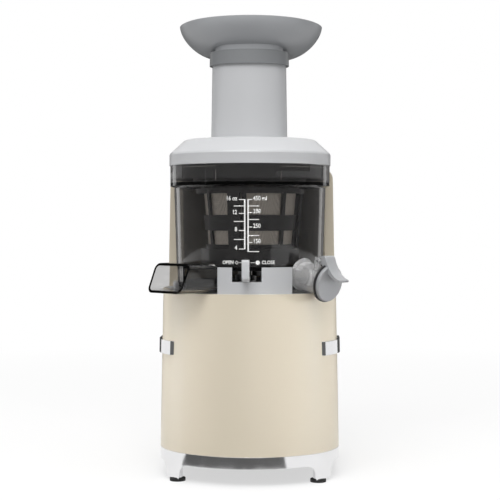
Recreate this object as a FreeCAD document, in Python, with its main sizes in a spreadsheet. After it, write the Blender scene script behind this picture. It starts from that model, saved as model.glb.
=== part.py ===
import FreeCAD, Part
import math
import os

import Sketcher

# Cold press juicer. Millimetres, +Z up, front towards -Y, origin under the middle of the whole.
# Every piece is drawn about the bowl's axis and then moved back by bowl_axis_y.

Vector = FreeCAD.Vector
Rotation = FreeCAD.Rotation
Placement = FreeCAD.Placement

SIZES = {
    "bowl_axis_y": -18,
    "gap": 0.3,
    "running_gap": 0.05,
    # plan of the base, from the bowl's axis
    "body_half_width": 81,
    "body_front": 75,
    "body_back": 120,
    "front_bend": 95,
    "corner_bend": 60,
    "back_bend": 38,
    "body_taper": 0.02,
    # heights of the base
    "pad_height": 2.5,
    "arch_height": 15.6,
    "arch_bend": 8,
    "arch_half_width": 59.5,
    "side_arch_front": 37,
    "side_arch_back": 88,
    "skirt_top": 26,
    "skirt_wall": 4,
    "deck_height": 166,
    "column_top": 277,
    "column_front": 32,
    "housing_wall": 3,
    "shoulder_bend": 9,
    "bowl_space_radius": 75.6,
    "deck_hole_radius": 15,
    # feet
    "pad_radius": 7,
    "leg_post_radius": 4.5,
    "front_foot_x": 62,
    "front_foot_y": 45.5,
    "rear_foot_x": 66,
    "rear_foot_y": 102,
    # bottom cover
    "cover_low": 17,
    "cover_thickness": 3,
    "vent_length": 34,
    "vent_width": 3,
    "vent_pitch": 7,
    "screw_radius": 1.7,
    "screw_head_radius": 3.2,
    "screw_head_height": 2,
    # badge bars on the sides
    "badge_low": 111,
    "badge_height": 12.2,
    "badge_proud": 2.6,
    "badge_front": 46,
    "badge_back": 14,
    # seat of the bowl on the deck
    "seat_rim": 1.4,
    "seat_thickness": 2,
    "band_radius": 70.6,
    "band_inner_radius": 67.3,
    "band_top": 189,
    "collar_top_low": 174,
    "band_left": 21,
    "band_right": 33.8,
    "collar_left": 71.5,
    "collar_right": 62.5,
    "notch_left": 12.4,
    "notch_right": 13,
    "notch_low": 176.5,
    # bowl
    "bowl_low": 169,
    "bowl_low_radius": 66.6,
    "bowl_high_radius": 69,
    "bowl_step_low": 258.6,
    "bowl_step_high": 260.4,
    "bowl_collar_radius": 72.5,
    "bowl_top": 278.5,
    "bowl_wall": 2.4,
    "floor_top": 189,
    "floor_thickness": 3,
    "bowl_hole_radius": 9,
    "boss_radius": 12,
    "bayonet_depth": 1.2,
    "bayonet_low": 267,
    "bayonet_height": 5.4,
    "bayonet_sweep": 46,
    "bayonet_first": 20,
    "lug_sweep": 14,
    # pulp duct, clear
    "duct_low": 167,
    "duct_height": 25.5,
    "duct_wall": 2.2,
    "duct_bend": 5.5,
    "duct_overhang": 11,
    "duct_root_back_x": -45.4,
    "duct_root_back_y": -14,
    "duct_mouth_back_x": -79.7,
    "duct_mouth_back_y": -53.4,
    "duct_mouth_front_x": -46.4,
    "duct_mouth_front_y": -80.5,
    "duct_root_front_x": -20.4,
    "duct_root_front_y": -58.9,
    # juice spout, clear
    "spout_radius": 12.25,
    "spout_wall": 2.2,
    "spout_x": 72.2,
    "spout_y": 66.9,
    "spout_z": 175,
    "spout_length": 46,
    "spout_turn": 47.5,
    "spout_fall": 11,
    "spout_flare_radius": 15.5,
    "spout_flare_start": 34,
    "spout_flare_length": 8,
    "ear_width": 2,
    "ear_foot": 7,
    "ear_top": 2.6,
    "ear_back": 3.2,
    "ear_front": 2.4,
    # juice cap
    "cap_radius": 15.8,
    "cap_thickness": 3,
    "cap_edge_bend": 1.4,
    "cap_gasket_radius": 16.7,
    "cap_gasket_thickness": 2,
    "cap_plug_length": 9,
    "plug_seat_length": 3,
    "plug_step": 2,
    "plug_taper": 0.4,
    "cap_pin_rise": 18.2,
    "cap_pin_out": -11.3,
    "cap_pin_radius": 1.4,
    "cap_hook_radius": 3.4,
    "cap_arm_half_width": 6.2,
    # pulp lever
    "lever_x": -0.2,
    "lever_pivot_y": 50,
    "lever_tip_y": 86,
    "lever_width": 6.3,
    "lever_low": 177.3,
    "lever_top": 196,
    "lever_arm_height": 4.4,
    "lever_tab_y": 73,
    "lever_hub_radius": 6.5,
    "lever_pin_radius": 2,
    "lever_pin_low": 172,
    "lever_boss_radius": 4.2,
    "lever_link_out": 8,
    "lever_link_back": 10,
    "lever_link_radius": 3,
    "pulp_hole_radius": 6,
    "pulp_hole_left": 14,
    "notch_depth_low": 60,
    "notch_depth_high": 80,
    # strainer
    "strainer_low": 199.6,
    "strainer_top": 262,
    "strainer_low_radius": 39.1,
    "strainer_slope": 0.09,
    "strainer_wall": 2.2,
    "mesh_wall": 0.8,
    "strainer_hole_radius": 34,
    "strainer_flange_radius": 52,
    "window_low": 208,
    "window_low_top": 220.4,
    "window_high": 234.3,
    "window_high_top": 255,
    "strainer_ribs": 7,
    "strainer_rib_turn": 5.4,
    "strainer_first_rib": -56,
    # brush round the strainer
    "brush_gap": 2.4,
    "brush_wall": 2.8,
    "brush_ring_top": 204,
    "brush_hoop_low": 253.5,
    "brush_top": 258,
    "brush_arm_width": 11.4,
    "brush_arm_turn": -15,
    "wiper_width": 4,
    # brush gears, on the floor of the bowl
    "brush_gear_low": 190.4,
    "brush_gear_height": 8,
    "brush_module": 1.5,
    "sun_teeth": 20,
    "idler_teeth": 14,
    "ring_teeth": 48,
    "idler_pin_radius": 3,
    # auger
    "auger_flange_radius": 32.6,
    "auger_low_radius": 25,
    "auger_high_radius": 15,
    "auger_core_top": 258,
    "auger_pin_radius": 5,
    "auger_pin_top": 287,
    "flight_root_radius": 12,
    "flight_radius": 34.2,
    "flight_width": 3.6,
    "flight_pitch": 52,
    "flight_height": 44,
    # lid
    "lid_skirt_radius": 73.3,
    "lid_crease": 288.4,
    "lid_shoulder_low": 290,
    "lid_shoulder_high": 301.4,
    "lid_roof_radius": 60,
    "lid_top": 304.2,
    "lid_wall": 2.6,
    "lid_socket_radius": 69.8,
    "lid_socket_wall": 2.2,
    "lid_socket_low": 266,
    "lid_bush_radius": 8.5,
    "lid_boss_radius": 11,
    "lid_boss_low": 280,
    # oval feed tube, in front of the bowl's axis
    "tube_y": 15,
    "tube_low_half_width": 34.2,
    "tube_low_half_depth": 27,
    "tube_high_half_width": 33,
    "tube_high_half_depth": 25.8,
    "tube_top": 376,
    "tube_wall": 2.5,
    "tube_roundness": 0.7,
    # hopper tray
    "tray_collar_low": 367.5,
    "tray_collar_top": 379.5,
    "tray_collar_half_width": 35.6,
    "tray_neck_half_width": 30.6,
    "tray_top": 407,
    "tray_half_width": 65.65,
    "tray_depth_ratio": 1.2186,
    "tray_back_shift": 37,
    "tray_wall": 2.6,
    "tray_roundness": 1.447,
    # drive
    "shaft_radius": 6,
    "hexagon_low": 190,
    "hexagon_top": 212,
    "motor_shaft_radius": 4,
    "motor_low": 34,
    "motor_top": 104,
    "can_radius": 47,
    "can_wall": 2,
    "bearing_radius": 11,
    "bearing_height": 7,
    "stator_low": 50,
    "stator_top": 86,
    "stator_bore": 26.6,
    "rotor_radius": 26,
    "winding_height": 8,
    "fan_low": 92,
    "fan_radius": 36,
    "fan_height": 8,
    "gear_module": 1,
    "pinion_teeth": 10,
    "large_teeth": 50,
    "small_teeth": 12,
    "output_teeth": 48,
    "stage_one_low": 110,
    "stage_one_height": 9,
    "stage_two_low": 121,
    "stage_two_height": 10,
    "case_low": 104,
    "case_split": 120,
    "case_top": 146,
    "case_wall": 3,
    "case_front_radius": 31,
    "case_rear_radius": 30,
    "gear_pin_radius": 3,
    "output_bearing_low": 136,
    # back of the housing
    "switch_x": -30,
    "switch_z": 58,
    "switch_half_width": 11,
    "switch_half_height": 15,
    "switch_proud": 1.6,
    "rocker_radius": 26,
    "rocker_pivot_radius": 1.2,
    "rocker_pivot_reach": 9.8,
    "rocker_pivot_y": 118.5,
    "gland_x": 34,
    "gland_z": 50,
    "gland_radius": 7,
    "gland_bore": 3.6,
    "rear_vent_count": 7,
    "rear_vent_low": 94,
    # control board and the switch that the lid's seat closes
    "board_x": -62,
    "board_thickness": 4,
    "board_front": 30,
    "board_back": 90,
    "board_low": 60,
    "board_top": 130,
    "board_part_height": 8,
    "board_part_front": 40,
    "board_part_pitch": 16,
    "board_part_length": 10,
    "board_part_low": 74,
    "board_part_top": 88,
    "lock_half_width": 8,
    "lock_front": 84,
    "lock_back": 94,
    "lock_low": 250,
    "lock_top": 268,
    "lock_plunger_radius": 2,
    "lock_plunger_height": 5,
}

doc = FreeCAD.newDocument("cold_press_juicer")
sheet = doc.addObject("Spreadsheet::Sheet", "Sizes")
for row, (alias, number) in enumerate(SIZES.items(), start=1):
    sheet.set(f"A{row}", alias)
    sheet.set(f"B{row}", str(number))
    sheet.setAlias(f"B{row}", alias)
doc.recompute()


class Size:
    """A number together with the sheet formula that gives it."""

    def __init__(self, value, formula):
        self.value = float(value)
        self.formula = formula

    def __add__(self, other):
        other = as_size(other)
        return Size(self.value + other.value, f"({self.formula} + {other.formula})")

    def __sub__(self, other):
        other = as_size(other)
        return Size(self.value - other.value, f"({self.formula} - {other.formula})")

    def __mul__(self, other):
        other = as_size(other)
        return Size(self.value * other.value, f"({self.formula} * {other.formula})")

    def __truediv__(self, other):
        other = as_size(other)
        return Size(self.value / other.value, f"({self.formula} / {other.formula})")

    def __radd__(self, other):
        return as_size(other) + self

    def __rsub__(self, other):
        return as_size(other) - self

    def __rmul__(self, other):
        return as_size(other) * self

    def __neg__(self):
        return as_size(0) - self

    def __float__(self):
        return self.value

    def root(self):
        return Size(math.sqrt(self.value), f"sqrt({self.formula})")


def as_size(number):
    if isinstance(number, Size):
        return number
    return Size(number, f"({number})")


class Sheet:
    """Each alias of the sheet, read as an attribute."""

    def __getattr__(self, alias):
        return Size(sheet.get(alias), f"Sizes.{alias}")


S = Sheet()
NODES = {}


def bind(made, path, size):
    made.setExpression(path, as_size(size).formula)


def put(made, x=0, y=0, z=0):
    for letter, size in zip("xyz", (x, y, z)):
        if as_size(size).value or isinstance(size, Size):
            bind(made, f"Placement.Base.{letter}", size)
    return made


def node(name, made):
    """Name a finished piece and move it from the bowl's axis to its place."""
    made.Label = name
    bind(made, "Placement.Base.y", S.bowl_axis_y)
    NODES[name] = made
    return made


# Primitives and booleans


def cylinder(radius, height, x=0, y=0, z=0):
    made = doc.addObject("Part::Cylinder", "cylinder")
    bind(made, "Radius", radius)
    bind(made, "Height", height)
    return put(made, x, y, z)


def cone(low_radius, high_radius, height, x=0, y=0, z=0):
    made = doc.addObject("Part::Cone", "cone")
    bind(made, "Radius1", low_radius)
    bind(made, "Radius2", high_radius)
    bind(made, "Height", height)
    return put(made, x, y, z)


def box(x_low, x_high, y_low, y_high, z_low, z_high):
    made = doc.addObject("Part::Box", "box")
    bind(made, "Length", as_size(x_high) - x_low)
    bind(made, "Width", as_size(y_high) - y_low)
    bind(made, "Height", as_size(z_high) - z_low)
    return put(made, x_low, y_low, z_low)


def hexagon(circumradius, height, z):
    made = doc.addObject("Part::Prism", "hexagon")
    made.Polygon = 6
    bind(made, "Circumradius", circumradius)
    bind(made, "Height", height)
    return put(made, 0, 0, z)


def fuse(*parts):
    made = doc.addObject("Part::MultiFuse", "fuse")
    made.Shapes = list(parts)
    made.Refine = True
    return made


def group(*parts):
    made = doc.addObject("Part::Compound", "group")
    made.Links = list(parts)
    return made


def common(base, tool):
    made = doc.addObject("Part::Common", "common")
    made.Base = base
    made.Tool = tool
    return made


def cut(base, *tools):
    made = doc.addObject("Part::Cut", "cut")
    made.Base = base
    made.Tool = tools[0] if len(tools) == 1 else fuse(*tools)
    return made


def ring(outer_radius, inner_radius, z_low, z_high, x=0, y=0):
    height = as_size(z_high) - z_low
    return cut(cylinder(outer_radius, height, x, y, z_low), cylinder(inner_radius, height, x, y, z_low))


def ring_part(outer_radius, inner_radius, z_low, z_high, turn_from, turn_to):
    """Part of a ring; the turns are degrees from the front, positive to the right."""
    outer = cylinder(outer_radius, as_size(z_high) - z_low, 0, 0, z_low)
    bind(outer, "Angle", as_size(turn_to) - turn_from)
    outer = turned_round(outer, (0, 0, 1), 270 + as_size(turn_from).value)
    return cut(outer, cylinder(inner_radius, as_size(z_high) - z_low, 0, 0, z_low))


def rounded(base, radius, chosen):
    """Round the edges that the test picks."""
    doc.recompute()
    made = doc.addObject("Part::Fillet", "rounded")
    made.Base = base
    size = as_size(radius).value
    made.Edges = [(k, size, size) for k, edge in enumerate(base.Shape.Edges, start=1) if chosen(edge)]
    return made


def moved(made, placement):
    """The object at another placement, kept apart from the one that its sizes give it."""
    holder = group(made)
    holder.Placement = placement
    return holder


def turned_round(made, axis, degrees, centre=(0, 0, 0)):
    """Turn an object about an axis through a centre."""
    return moved(made, Placement(Vector(0, 0, 0), Rotation(Vector(*axis), degrees), Vector(*centre)))


# Bodies with sketches


def body(name):
    return doc.addObject("PartDesign::Body", name)


def sketch(owner, role, lift=0):
    made = owner.newObject("Sketcher::SketchObject", "sketch")
    plane = [item for item in owner.Origin.OriginFeatures if item.Role == role][0]
    made.AttachmentSupport = [(plane, "")]
    made.MapMode = "FlatFace"
    bind(made, "AttachmentOffset.Base.z", lift)
    return made


def arc_between(start, end, bend):
    """Shorter arc from start to end; it runs anticlockwise where the bend is positive."""
    chord = end.sub(start)
    side = Vector(-chord.y, chord.x, 0).normalize()
    reach = math.sqrt(max(bend * bend - chord.Length ** 2 / 4, 0))
    centre = start.add(chord.multiply(0.5)).add(side.multiply(reach if bend > 0 else -reach))
    circle = Part.Circle(centre, Vector(0, 0, 1), abs(bend))
    if bend > 0:
        return Part.ArcOfCircle(circle, circle.parameter(start), circle.parameter(end))
    return Part.ArcOfCircle(circle, circle.parameter(end), circle.parameter(start))


def draw(made, points):
    """Close an outline; a point's third value is the radius of the arc that leads to it."""
    first = made.GeometryCount
    corners = [(as_size(point[0]), as_size(point[1])) for point in points]
    places = [Vector(x.value, y.value, 0) for x, y in corners]
    ends = []
    for k, point in enumerate(points):
        start = places[k - 1]
        end = places[k]
        if len(point) == 2:
            made.addGeometry(Part.LineSegment(start, end))
            ends.append((1, 2))
            continue
        bend = as_size(point[2])
        made.addGeometry(arc_between(start, end, bend.value))
        ends.append((1, 2) if bend.value > 0 else (2, 1))
        radius = bend if bend.value > 0 else -bend
        number = made.addConstraint(Sketcher.Constraint("Radius", first + k, radius.value))
        bind(made, f"Constraints[{number}]", radius)
    for k, (x, y) in enumerate(corners):
        following = (k + 1) % len(points)
        here = (first + k, ends[k][1])
        made.addConstraint(Sketcher.Constraint("Coincident", *here, first + following, ends[following][0]))
        number = made.addConstraint(Sketcher.Constraint("DistanceX", -1, 1, *here, x.value))
        bind(made, f"Constraints[{number}]", x)
        number = made.addConstraint(Sketcher.Constraint("DistanceY", -1, 1, *here, y.value))
        bind(made, f"Constraints[{number}]", y)
    return made


def pad(owner, profile, length):
    made = owner.newObject("PartDesign::Pad", "pad")
    made.Profile = profile
    bind(made, "Length", length)
    return made


def turned(name, profile):
    """Body of revolution about the vertical axis, from (radius, height) points."""
    owner = body(name)
    outline = draw(sketch(owner, "XZ_Plane"), profile)
    made = owner.newObject("PartDesign::Revolution", "turn")
    made.Profile = outline
    made.ReferenceAxis = (outline, ["V_Axis"])
    made.Angle = 360
    return owner


def loft(name, sections, ruled=True):
    """Body through level outlines, given as (height, points)."""
    owner = body(name)
    outlines = [draw(sketch(owner, "XY_Plane", height), points) for height, points in sections]
    made = owner.newObject("PartDesign::AdditiveLoft", "loft")
    made.Profile = outlines[0]
    made.Sections = outlines[1:]
    made.Ruled = ruled
    return owner


def prism(name, role, lift, length, points):
    owner = body(name)
    pad(owner, draw(sketch(owner, role, lift), points), length)
    return owner


# Outlines


def plan(inset):
    """Plan of the base: a wide front arc, two tighter corner arcs, straight sides and a flat back."""
    inset = as_size(inset)
    side = S.body_half_width - inset
    back = S.body_back - inset
    corner_x = S.body_half_width - S.corner_bend
    front_y = S.front_bend - S.body_front
    between = S.front_bend - S.corner_bend
    drop = (between * between - corner_x * corner_x).root()
    corner_y = front_y - drop
    meet_x = (S.front_bend - inset) * corner_x / between
    meet_y = front_y - (S.front_bend - inset) * drop / between
    rear = S.back_bend - inset
    return [
        (side, corner_y, S.corner_bend - inset),
        (side, back - rear),
        (side - rear, back, rear),
        (rear - side, back),
        (-side, back - rear, rear),
        (-side, corner_y),
        (-meet_x, meet_y, S.corner_bend - inset),
        (meet_x, meet_y, S.front_bend - inset),
    ]


def oval(half_width, half_depth, roundness, y=0):
    """Four tangent arcs; roundness is the side arc's radius over the half width."""
    half_width = as_size(half_width)
    half_depth = as_size(half_depth)
    side = half_width * roundness
    offset = half_width - side
    end = (offset * offset + half_depth * half_depth - side * side) / ((half_depth - side) * 2)
    meet_x = end * offset / (end - side)
    meet_y = (half_depth - end) * side / (side - end)
    y = as_size(y)
    return [
        (meet_x, y + meet_y, side),
        (-meet_x, y + meet_y, end),
        (-meet_x, y - meet_y, side),
        (meet_x, y - meet_y, end),
    ]


def base_block(name, inset, z_low, z_high):
    """Solid of the base's plan with the housing's taper, drawn in by the inset."""
    z_low = as_size(z_low)
    z_high = as_size(z_high)
    low = S.body_taper * (z_low - S.skirt_top) + inset
    high = S.body_taper * (z_high - S.skirt_top) + inset
    return loft(name, [(z_low, plan(low)), (z_high, plan(high))])


def bowl_space(name, radius, front, z_low, z_high):
    """Room in front of the column, with the round hollow behind the bowl."""
    radius = as_size(radius)
    wide = 100
    edge = (radius * radius - front * front).root()
    outline = [
        (-wide, -wide),
        (wide, -wide),
        (wide, front),
        (edge, front),
        (-edge, front, radius),
        (-wide, front),
    ]
    return prism(name, "XY_Plane", z_low, as_size(z_high) - z_low, outline)


# Base


def make_body_housing():
    over = S.column_top + 5
    outer = cut(
        base_block("housing_outer", 0, S.skirt_top, S.column_top),
        bowl_space("housing_bowl_space", S.bowl_space_radius, S.column_front, S.deck_height, over),
    )

    def shoulder_edge(edge):
        middle = edge.CenterOfMass
        level = edge.BoundBox.ZLength < 0.01 and middle.z > float(S.column_top) - 0.01
        along_side = edge.BoundBox.XLength < 1 and abs(middle.x) > 70
        round_back = middle.y > float(S.body_back) - float(S.back_bend) - 5
        return level and (along_side or round_back)

    outer = rounded(outer, S.shoulder_bend, shoulder_edge)
    wall = S.housing_wall
    inner = cut(
        base_block("housing_inner", wall, S.skirt_top - 1, S.column_top - wall),
        bowl_space(
            "housing_inner_space",
            S.bowl_space_radius + wall,
            S.column_front + wall,
            S.deck_height - S.seat_thickness - wall,
            over,
        ),
    )
    recess = common(
        base_block("seat_recess", S.seat_rim, S.deck_height - S.seat_thickness, S.deck_height + 1),
        bowl_space(
            "seat_recess_space",
            S.bowl_space_radius,
            S.column_front,
            S.deck_height - S.seat_thickness - 1,
            over,
        ),
    )
    shaft_hole = cylinder(S.deck_hole_radius, 20, 0, 0, S.deck_height - 15)
    back = S.body_back
    switch_hole = box(
        S.switch_x - S.switch_half_width,
        S.switch_x + S.switch_half_width,
        back - 12,
        back + 5,
        S.switch_z - S.switch_half_height,
        S.switch_z + S.switch_half_height,
    )
    gland_hole = turned_round(
        cylinder(S.gland_radius, 20, S.gland_x, back - 12, S.gland_z),
        (1, 0, 0),
        -90,
        (float(S.gland_x), float(back) - 12, float(S.gland_z)),
    )
    vents = []
    for k in range(int(float(S.rear_vent_count))):
        z = S.rear_vent_low + k * S.vent_pitch
        vents.append(box(-S.vent_length / 2, S.vent_length / 2, back - 12, back + 5, z, z + S.vent_width))
    shell = cut(outer, inner, recess, shaft_hole, switch_hole, gland_hole, *vents)
    reach = 200
    node("body_housing", common(shell, box(-reach, reach, -reach, reach, 0, S.deck_height)))
    node("rear_column", common(shell, box(-reach, reach, -reach, reach, S.deck_height, over)))


def make_base_skirt():
    low = S.pad_height
    shell = cut(
        prism("skirt_outer", "XY_Plane", low, S.skirt_top - low, plan(0)),
        prism("skirt_inner", "XY_Plane", low - 1, S.skirt_top - low + 2, plan(S.skirt_wall)),
    )
    bend = S.arch_bend
    half = S.arch_half_width
    top = S.arch_height
    front_arch = prism(
        "front_arch",
        "XZ_Plane",
        -150,
        300,
        [
            (-half - 2, 0),
            (half + 2, 0),
            (half, low + 3),
            (half, top - bend),
            (half - bend, top, bend),
            (bend - half, top),
            (-half, top - bend, bend),
            (-half, low + 3),
        ],
    )
    front = -S.side_arch_front
    back = S.side_arch_back
    side_arch = prism(
        "side_arch",
        "YZ_Plane",
        -100,
        200,
        [
            (front, 0),
            (back, 0),
            (back, top - bend),
            (back - bend, top, bend),
            (front + bend, top),
            (front, top - bend, bend),
        ],
    )
    arched = cut(shell, front_arch, side_arch)
    posts = []
    for x, y in feet():
        posts.append(cylinder(S.leg_post_radius, S.skirt_top - low, x, y, low))
    trimmed = common(fuse(*posts), prism("skirt_trim", "XY_Plane", low, S.skirt_top - low, plan(0.5)))
    return node("base_skirt", fuse(arched, trimmed))


def feet():
    """Places of the four feet."""
    front = [(side * S.front_foot_x, -S.front_foot_y) for side in (-1, 1)]
    rear = [(side * S.rear_foot_x, S.rear_foot_y) for side in (-1, 1)]
    return front + rear


def make_foot_pads():
    pads = [cylinder(S.pad_radius, S.pad_height, x, y, 0) for x, y in feet()]
    return node("foot_pads", group(*pads))


def cover_screws():
    return [(x, y) for x in (-56, 56) for y in (-24, 72)]


def make_bottom_cover():
    plate = prism("cover_plate", "XY_Plane", S.cover_low, S.cover_thickness, plan(S.skirt_wall + 0.2))
    tools = [cylinder(S.leg_post_radius + 0.2, 10, x, y, S.cover_low - 2) for x, y in feet()]
    for k in range(5):
        for side in (-1, 1):
            x = side * 24
            y = k * S.vent_pitch + 62
            half = S.vent_length / 2
            tools.append(box(x - half, x + half, y, y + S.vent_width, S.cover_low - 1, S.cover_low + 5))
    tools += [cylinder(S.screw_radius, 10, x, y, S.cover_low - 2) for x, y in cover_screws()]
    return node("bottom_cover", cut(plate, *tools))


def make_cover_screws():
    """Screws with a head under the cover and a shank up into the housing's screw posts."""
    screws = []
    for x, y in cover_screws():
        head = cylinder(S.screw_head_radius, S.screw_head_height, x, y, S.cover_low - S.screw_head_height)
        shank = cylinder(S.screw_radius, 16, x, y, S.cover_low - S.screw_head_height)
        screws.append(fuse(head, shank))
    return node("cover_screws", group(*screws))


def make_screw_posts():
    """Blocks behind the skirt that the cover screws bite into, joined by a floor frame."""
    low = S.cover_low + S.cover_thickness
    frame = cut(
        prism("frame_outer", "XY_Plane", low, 6, plan(S.skirt_wall + 0.2)),
        prism("frame_inner", "XY_Plane", low - 1, 8, plan(S.skirt_wall + 22)),
    )
    tools = [cylinder(S.leg_post_radius + 0.2, 10, x, y, low - 1) for x, y in feet()]
    posts = [cylinder(6, 16, x, y, low) for x, y in cover_screws()]
    holes = [cylinder(S.screw_radius, 11, x, y, low) for x, y in cover_screws()]
    solid = fuse(cut(frame, *tools), *posts)
    return node("floor_frame", cut(solid, *holes))


def make_side_badges():
    low = S.badge_low
    top = S.badge_low + S.badge_height
    band = cut(
        base_block("badge_outer", -S.badge_proud, low, top),
        base_block("badge_inner", 0, low - 1, top + 1),
    )
    sides = [
        box(min(50 * side, 100 * side), max(50 * side, 100 * side), -S.badge_front, S.badge_back, low, top)
        for side in (-1, 1)
    ]
    return node("side_badges", common(band, fuse(*sides)))


def lever_notch(z_low, z_high):
    """Block that the front of the seat and of the bowl leaves free for the lever."""
    return box(-S.notch_left, S.notch_right, -S.notch_depth_high, -S.notch_depth_low, z_low, z_high)


def make_bowl_seat():
    low = S.deck_height - S.seat_thickness
    plate = common(
        base_block("seat_plate", S.seat_rim + 0.1, low, S.deck_height),
        bowl_space("seat_space", S.bowl_space_radius - 0.1, S.column_front - 0.1, low - 1, S.column_top),
    )
    band = ring_part(
        S.band_radius,
        S.band_inner_radius,
        S.deck_height,
        S.band_top,
        -S.band_left,
        S.band_right,
    )
    collar = ring_part(
        S.band_radius,
        S.band_inner_radius,
        S.deck_height,
        S.collar_top_low,
        S.collar_right,
        360 - S.collar_left,
    )
    notch = lever_notch(S.notch_low, S.band_top + 1)
    seal_ring = ring(20, S.deck_hole_radius - 1, S.deck_height, S.deck_height + 2)
    hole = cylinder(S.deck_hole_radius - 1, 10, 0, 0, low - 2)
    return node("bowl_seat", cut(fuse(plate, band, collar, seal_ring), notch, hole))


def make_shaft_seal():
    low = S.deck_height - S.seat_thickness
    inner = S.shaft_radius + 0.15
    outer = S.deck_hole_radius - 1
    return node("shaft_seal", turned("shaft_seal_body", [
        (inner, low),
        (outer, low),
        (outer, S.deck_height + 2),
        (inner + 2, S.deck_height + 5),
        (inner, S.deck_height + 5),
    ]))


def make_switch():
    """Bezel and rocker of the mains switch on the back."""
    back = S.body_back
    x = S.switch_x
    z = S.switch_z
    wide = S.switch_half_width
    tall = S.switch_half_height
    face = back - S.body_taper * (z - S.skirt_top)
    proud = face + S.switch_proud

    def pivot(radius, reach):
        made = turned_round(cylinder(radius, reach * 2), (0, 1, 0), 90)
        start = Vector(float(x - reach), float(S.rocker_pivot_y), float(z))
        return moved(made, Placement(start, Rotation()))

    node("switch_bezel", cut(
        fuse(
            box(x - wide + 0.2, x + wide - 0.2, back - 12, face + 1, z - tall + 0.2, z + tall - 0.2),
            box(x - wide - 2, x + wide + 2, face + 0.5, proud, z - tall - 2, z + tall + 2),
        ),
        box(x - wide + 2, x + wide - 2, back - 20, back + 5, z - tall + 2, z + tall - 2),
        pivot(S.rocker_pivot_radius + S.running_gap, S.rocker_pivot_reach + S.gap),
    ))
    half = wide - 2.4
    reach = tall - 3
    dish_y = float(proud) + float(S.rocker_radius) - 1.5
    dish = turned_round(cylinder(S.rocker_radius, 60), (0, 1, 0), 90)
    dish = moved(dish, Placement(Vector(float(x) - 30, dish_y, float(z)), Rotation()))
    body_of_rocker = box(x - half, x + half, face - 5, proud + 2.6, z - reach, z + reach)
    pins = pivot(S.rocker_pivot_radius, S.rocker_pivot_reach)
    node("power_rocker", fuse(cut(body_of_rocker, dish), pins))


def make_gland():
    """Bare gland in the back for the mains cord."""
    face = S.body_back - S.body_taper * (S.gland_z - S.skirt_top)
    made = turned("gland_body", [
        (S.gland_bore, -10),
        (S.gland_radius - 0.1, -10),
        (S.gland_radius - 0.1, 0.5),
        (S.gland_radius + 2.4, 0.5),
        (S.gland_radius + 1.6, 2),
        (S.gland_bore, 2),
    ])
    start = Vector(float(S.gland_x), float(face), float(S.gland_z))
    place = Placement(start, Rotation(Vector(1, 0, 0), -90))
    node("cable_gland", group(moved(made, place)))


# Bowl and what is moulded to it


def bowl_outer(name, extra=0):
    """Solid of the bowl's outside."""
    return turned(name, [
        (0, S.bowl_low),
        (S.bowl_low_radius + extra, S.bowl_low),
        (S.bowl_high_radius + extra, S.bowl_step_low),
        (S.bowl_collar_radius + extra, S.bowl_step_high),
        (S.bowl_collar_radius + extra, S.bowl_top),
        (0, S.bowl_top),
    ])


def spout_frame(offset=0.0):
    """Placement on the spout's axis: Z runs out along it and X up across it, from the cap's face."""
    turn = math.radians(float(S.spout_turn))
    fall = math.radians(float(S.spout_fall))
    along = Vector(math.sin(turn) * math.cos(fall), -math.cos(turn) * math.cos(fall), -math.sin(fall))
    across = Vector(0, 0, 1).cross(along)
    rise = along.cross(across)
    centre = Vector(float(S.spout_x), -float(S.spout_y), float(S.spout_z))
    return Placement(centre + along * float(offset), Rotation(rise, across * -1, along, "ZXY"))


def along_spout(made, offset=0.0):
    return moved(made, spout_frame(offset))


def spout_tube(radius, start, end):
    return along_spout(cylinder(radius, as_size(end) - start), as_size(start).value)


def across_spout(radius, length, rise, out):
    """Cylinder across the spout, level with the cap's hinge."""
    made = turned_round(cylinder(radius, length), (1, 0, 0), -90)
    place = Vector(as_size(rise).value, -as_size(length).value / 2, as_size(out).value)
    return moved(made, Placement(place, Rotation()))


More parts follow.
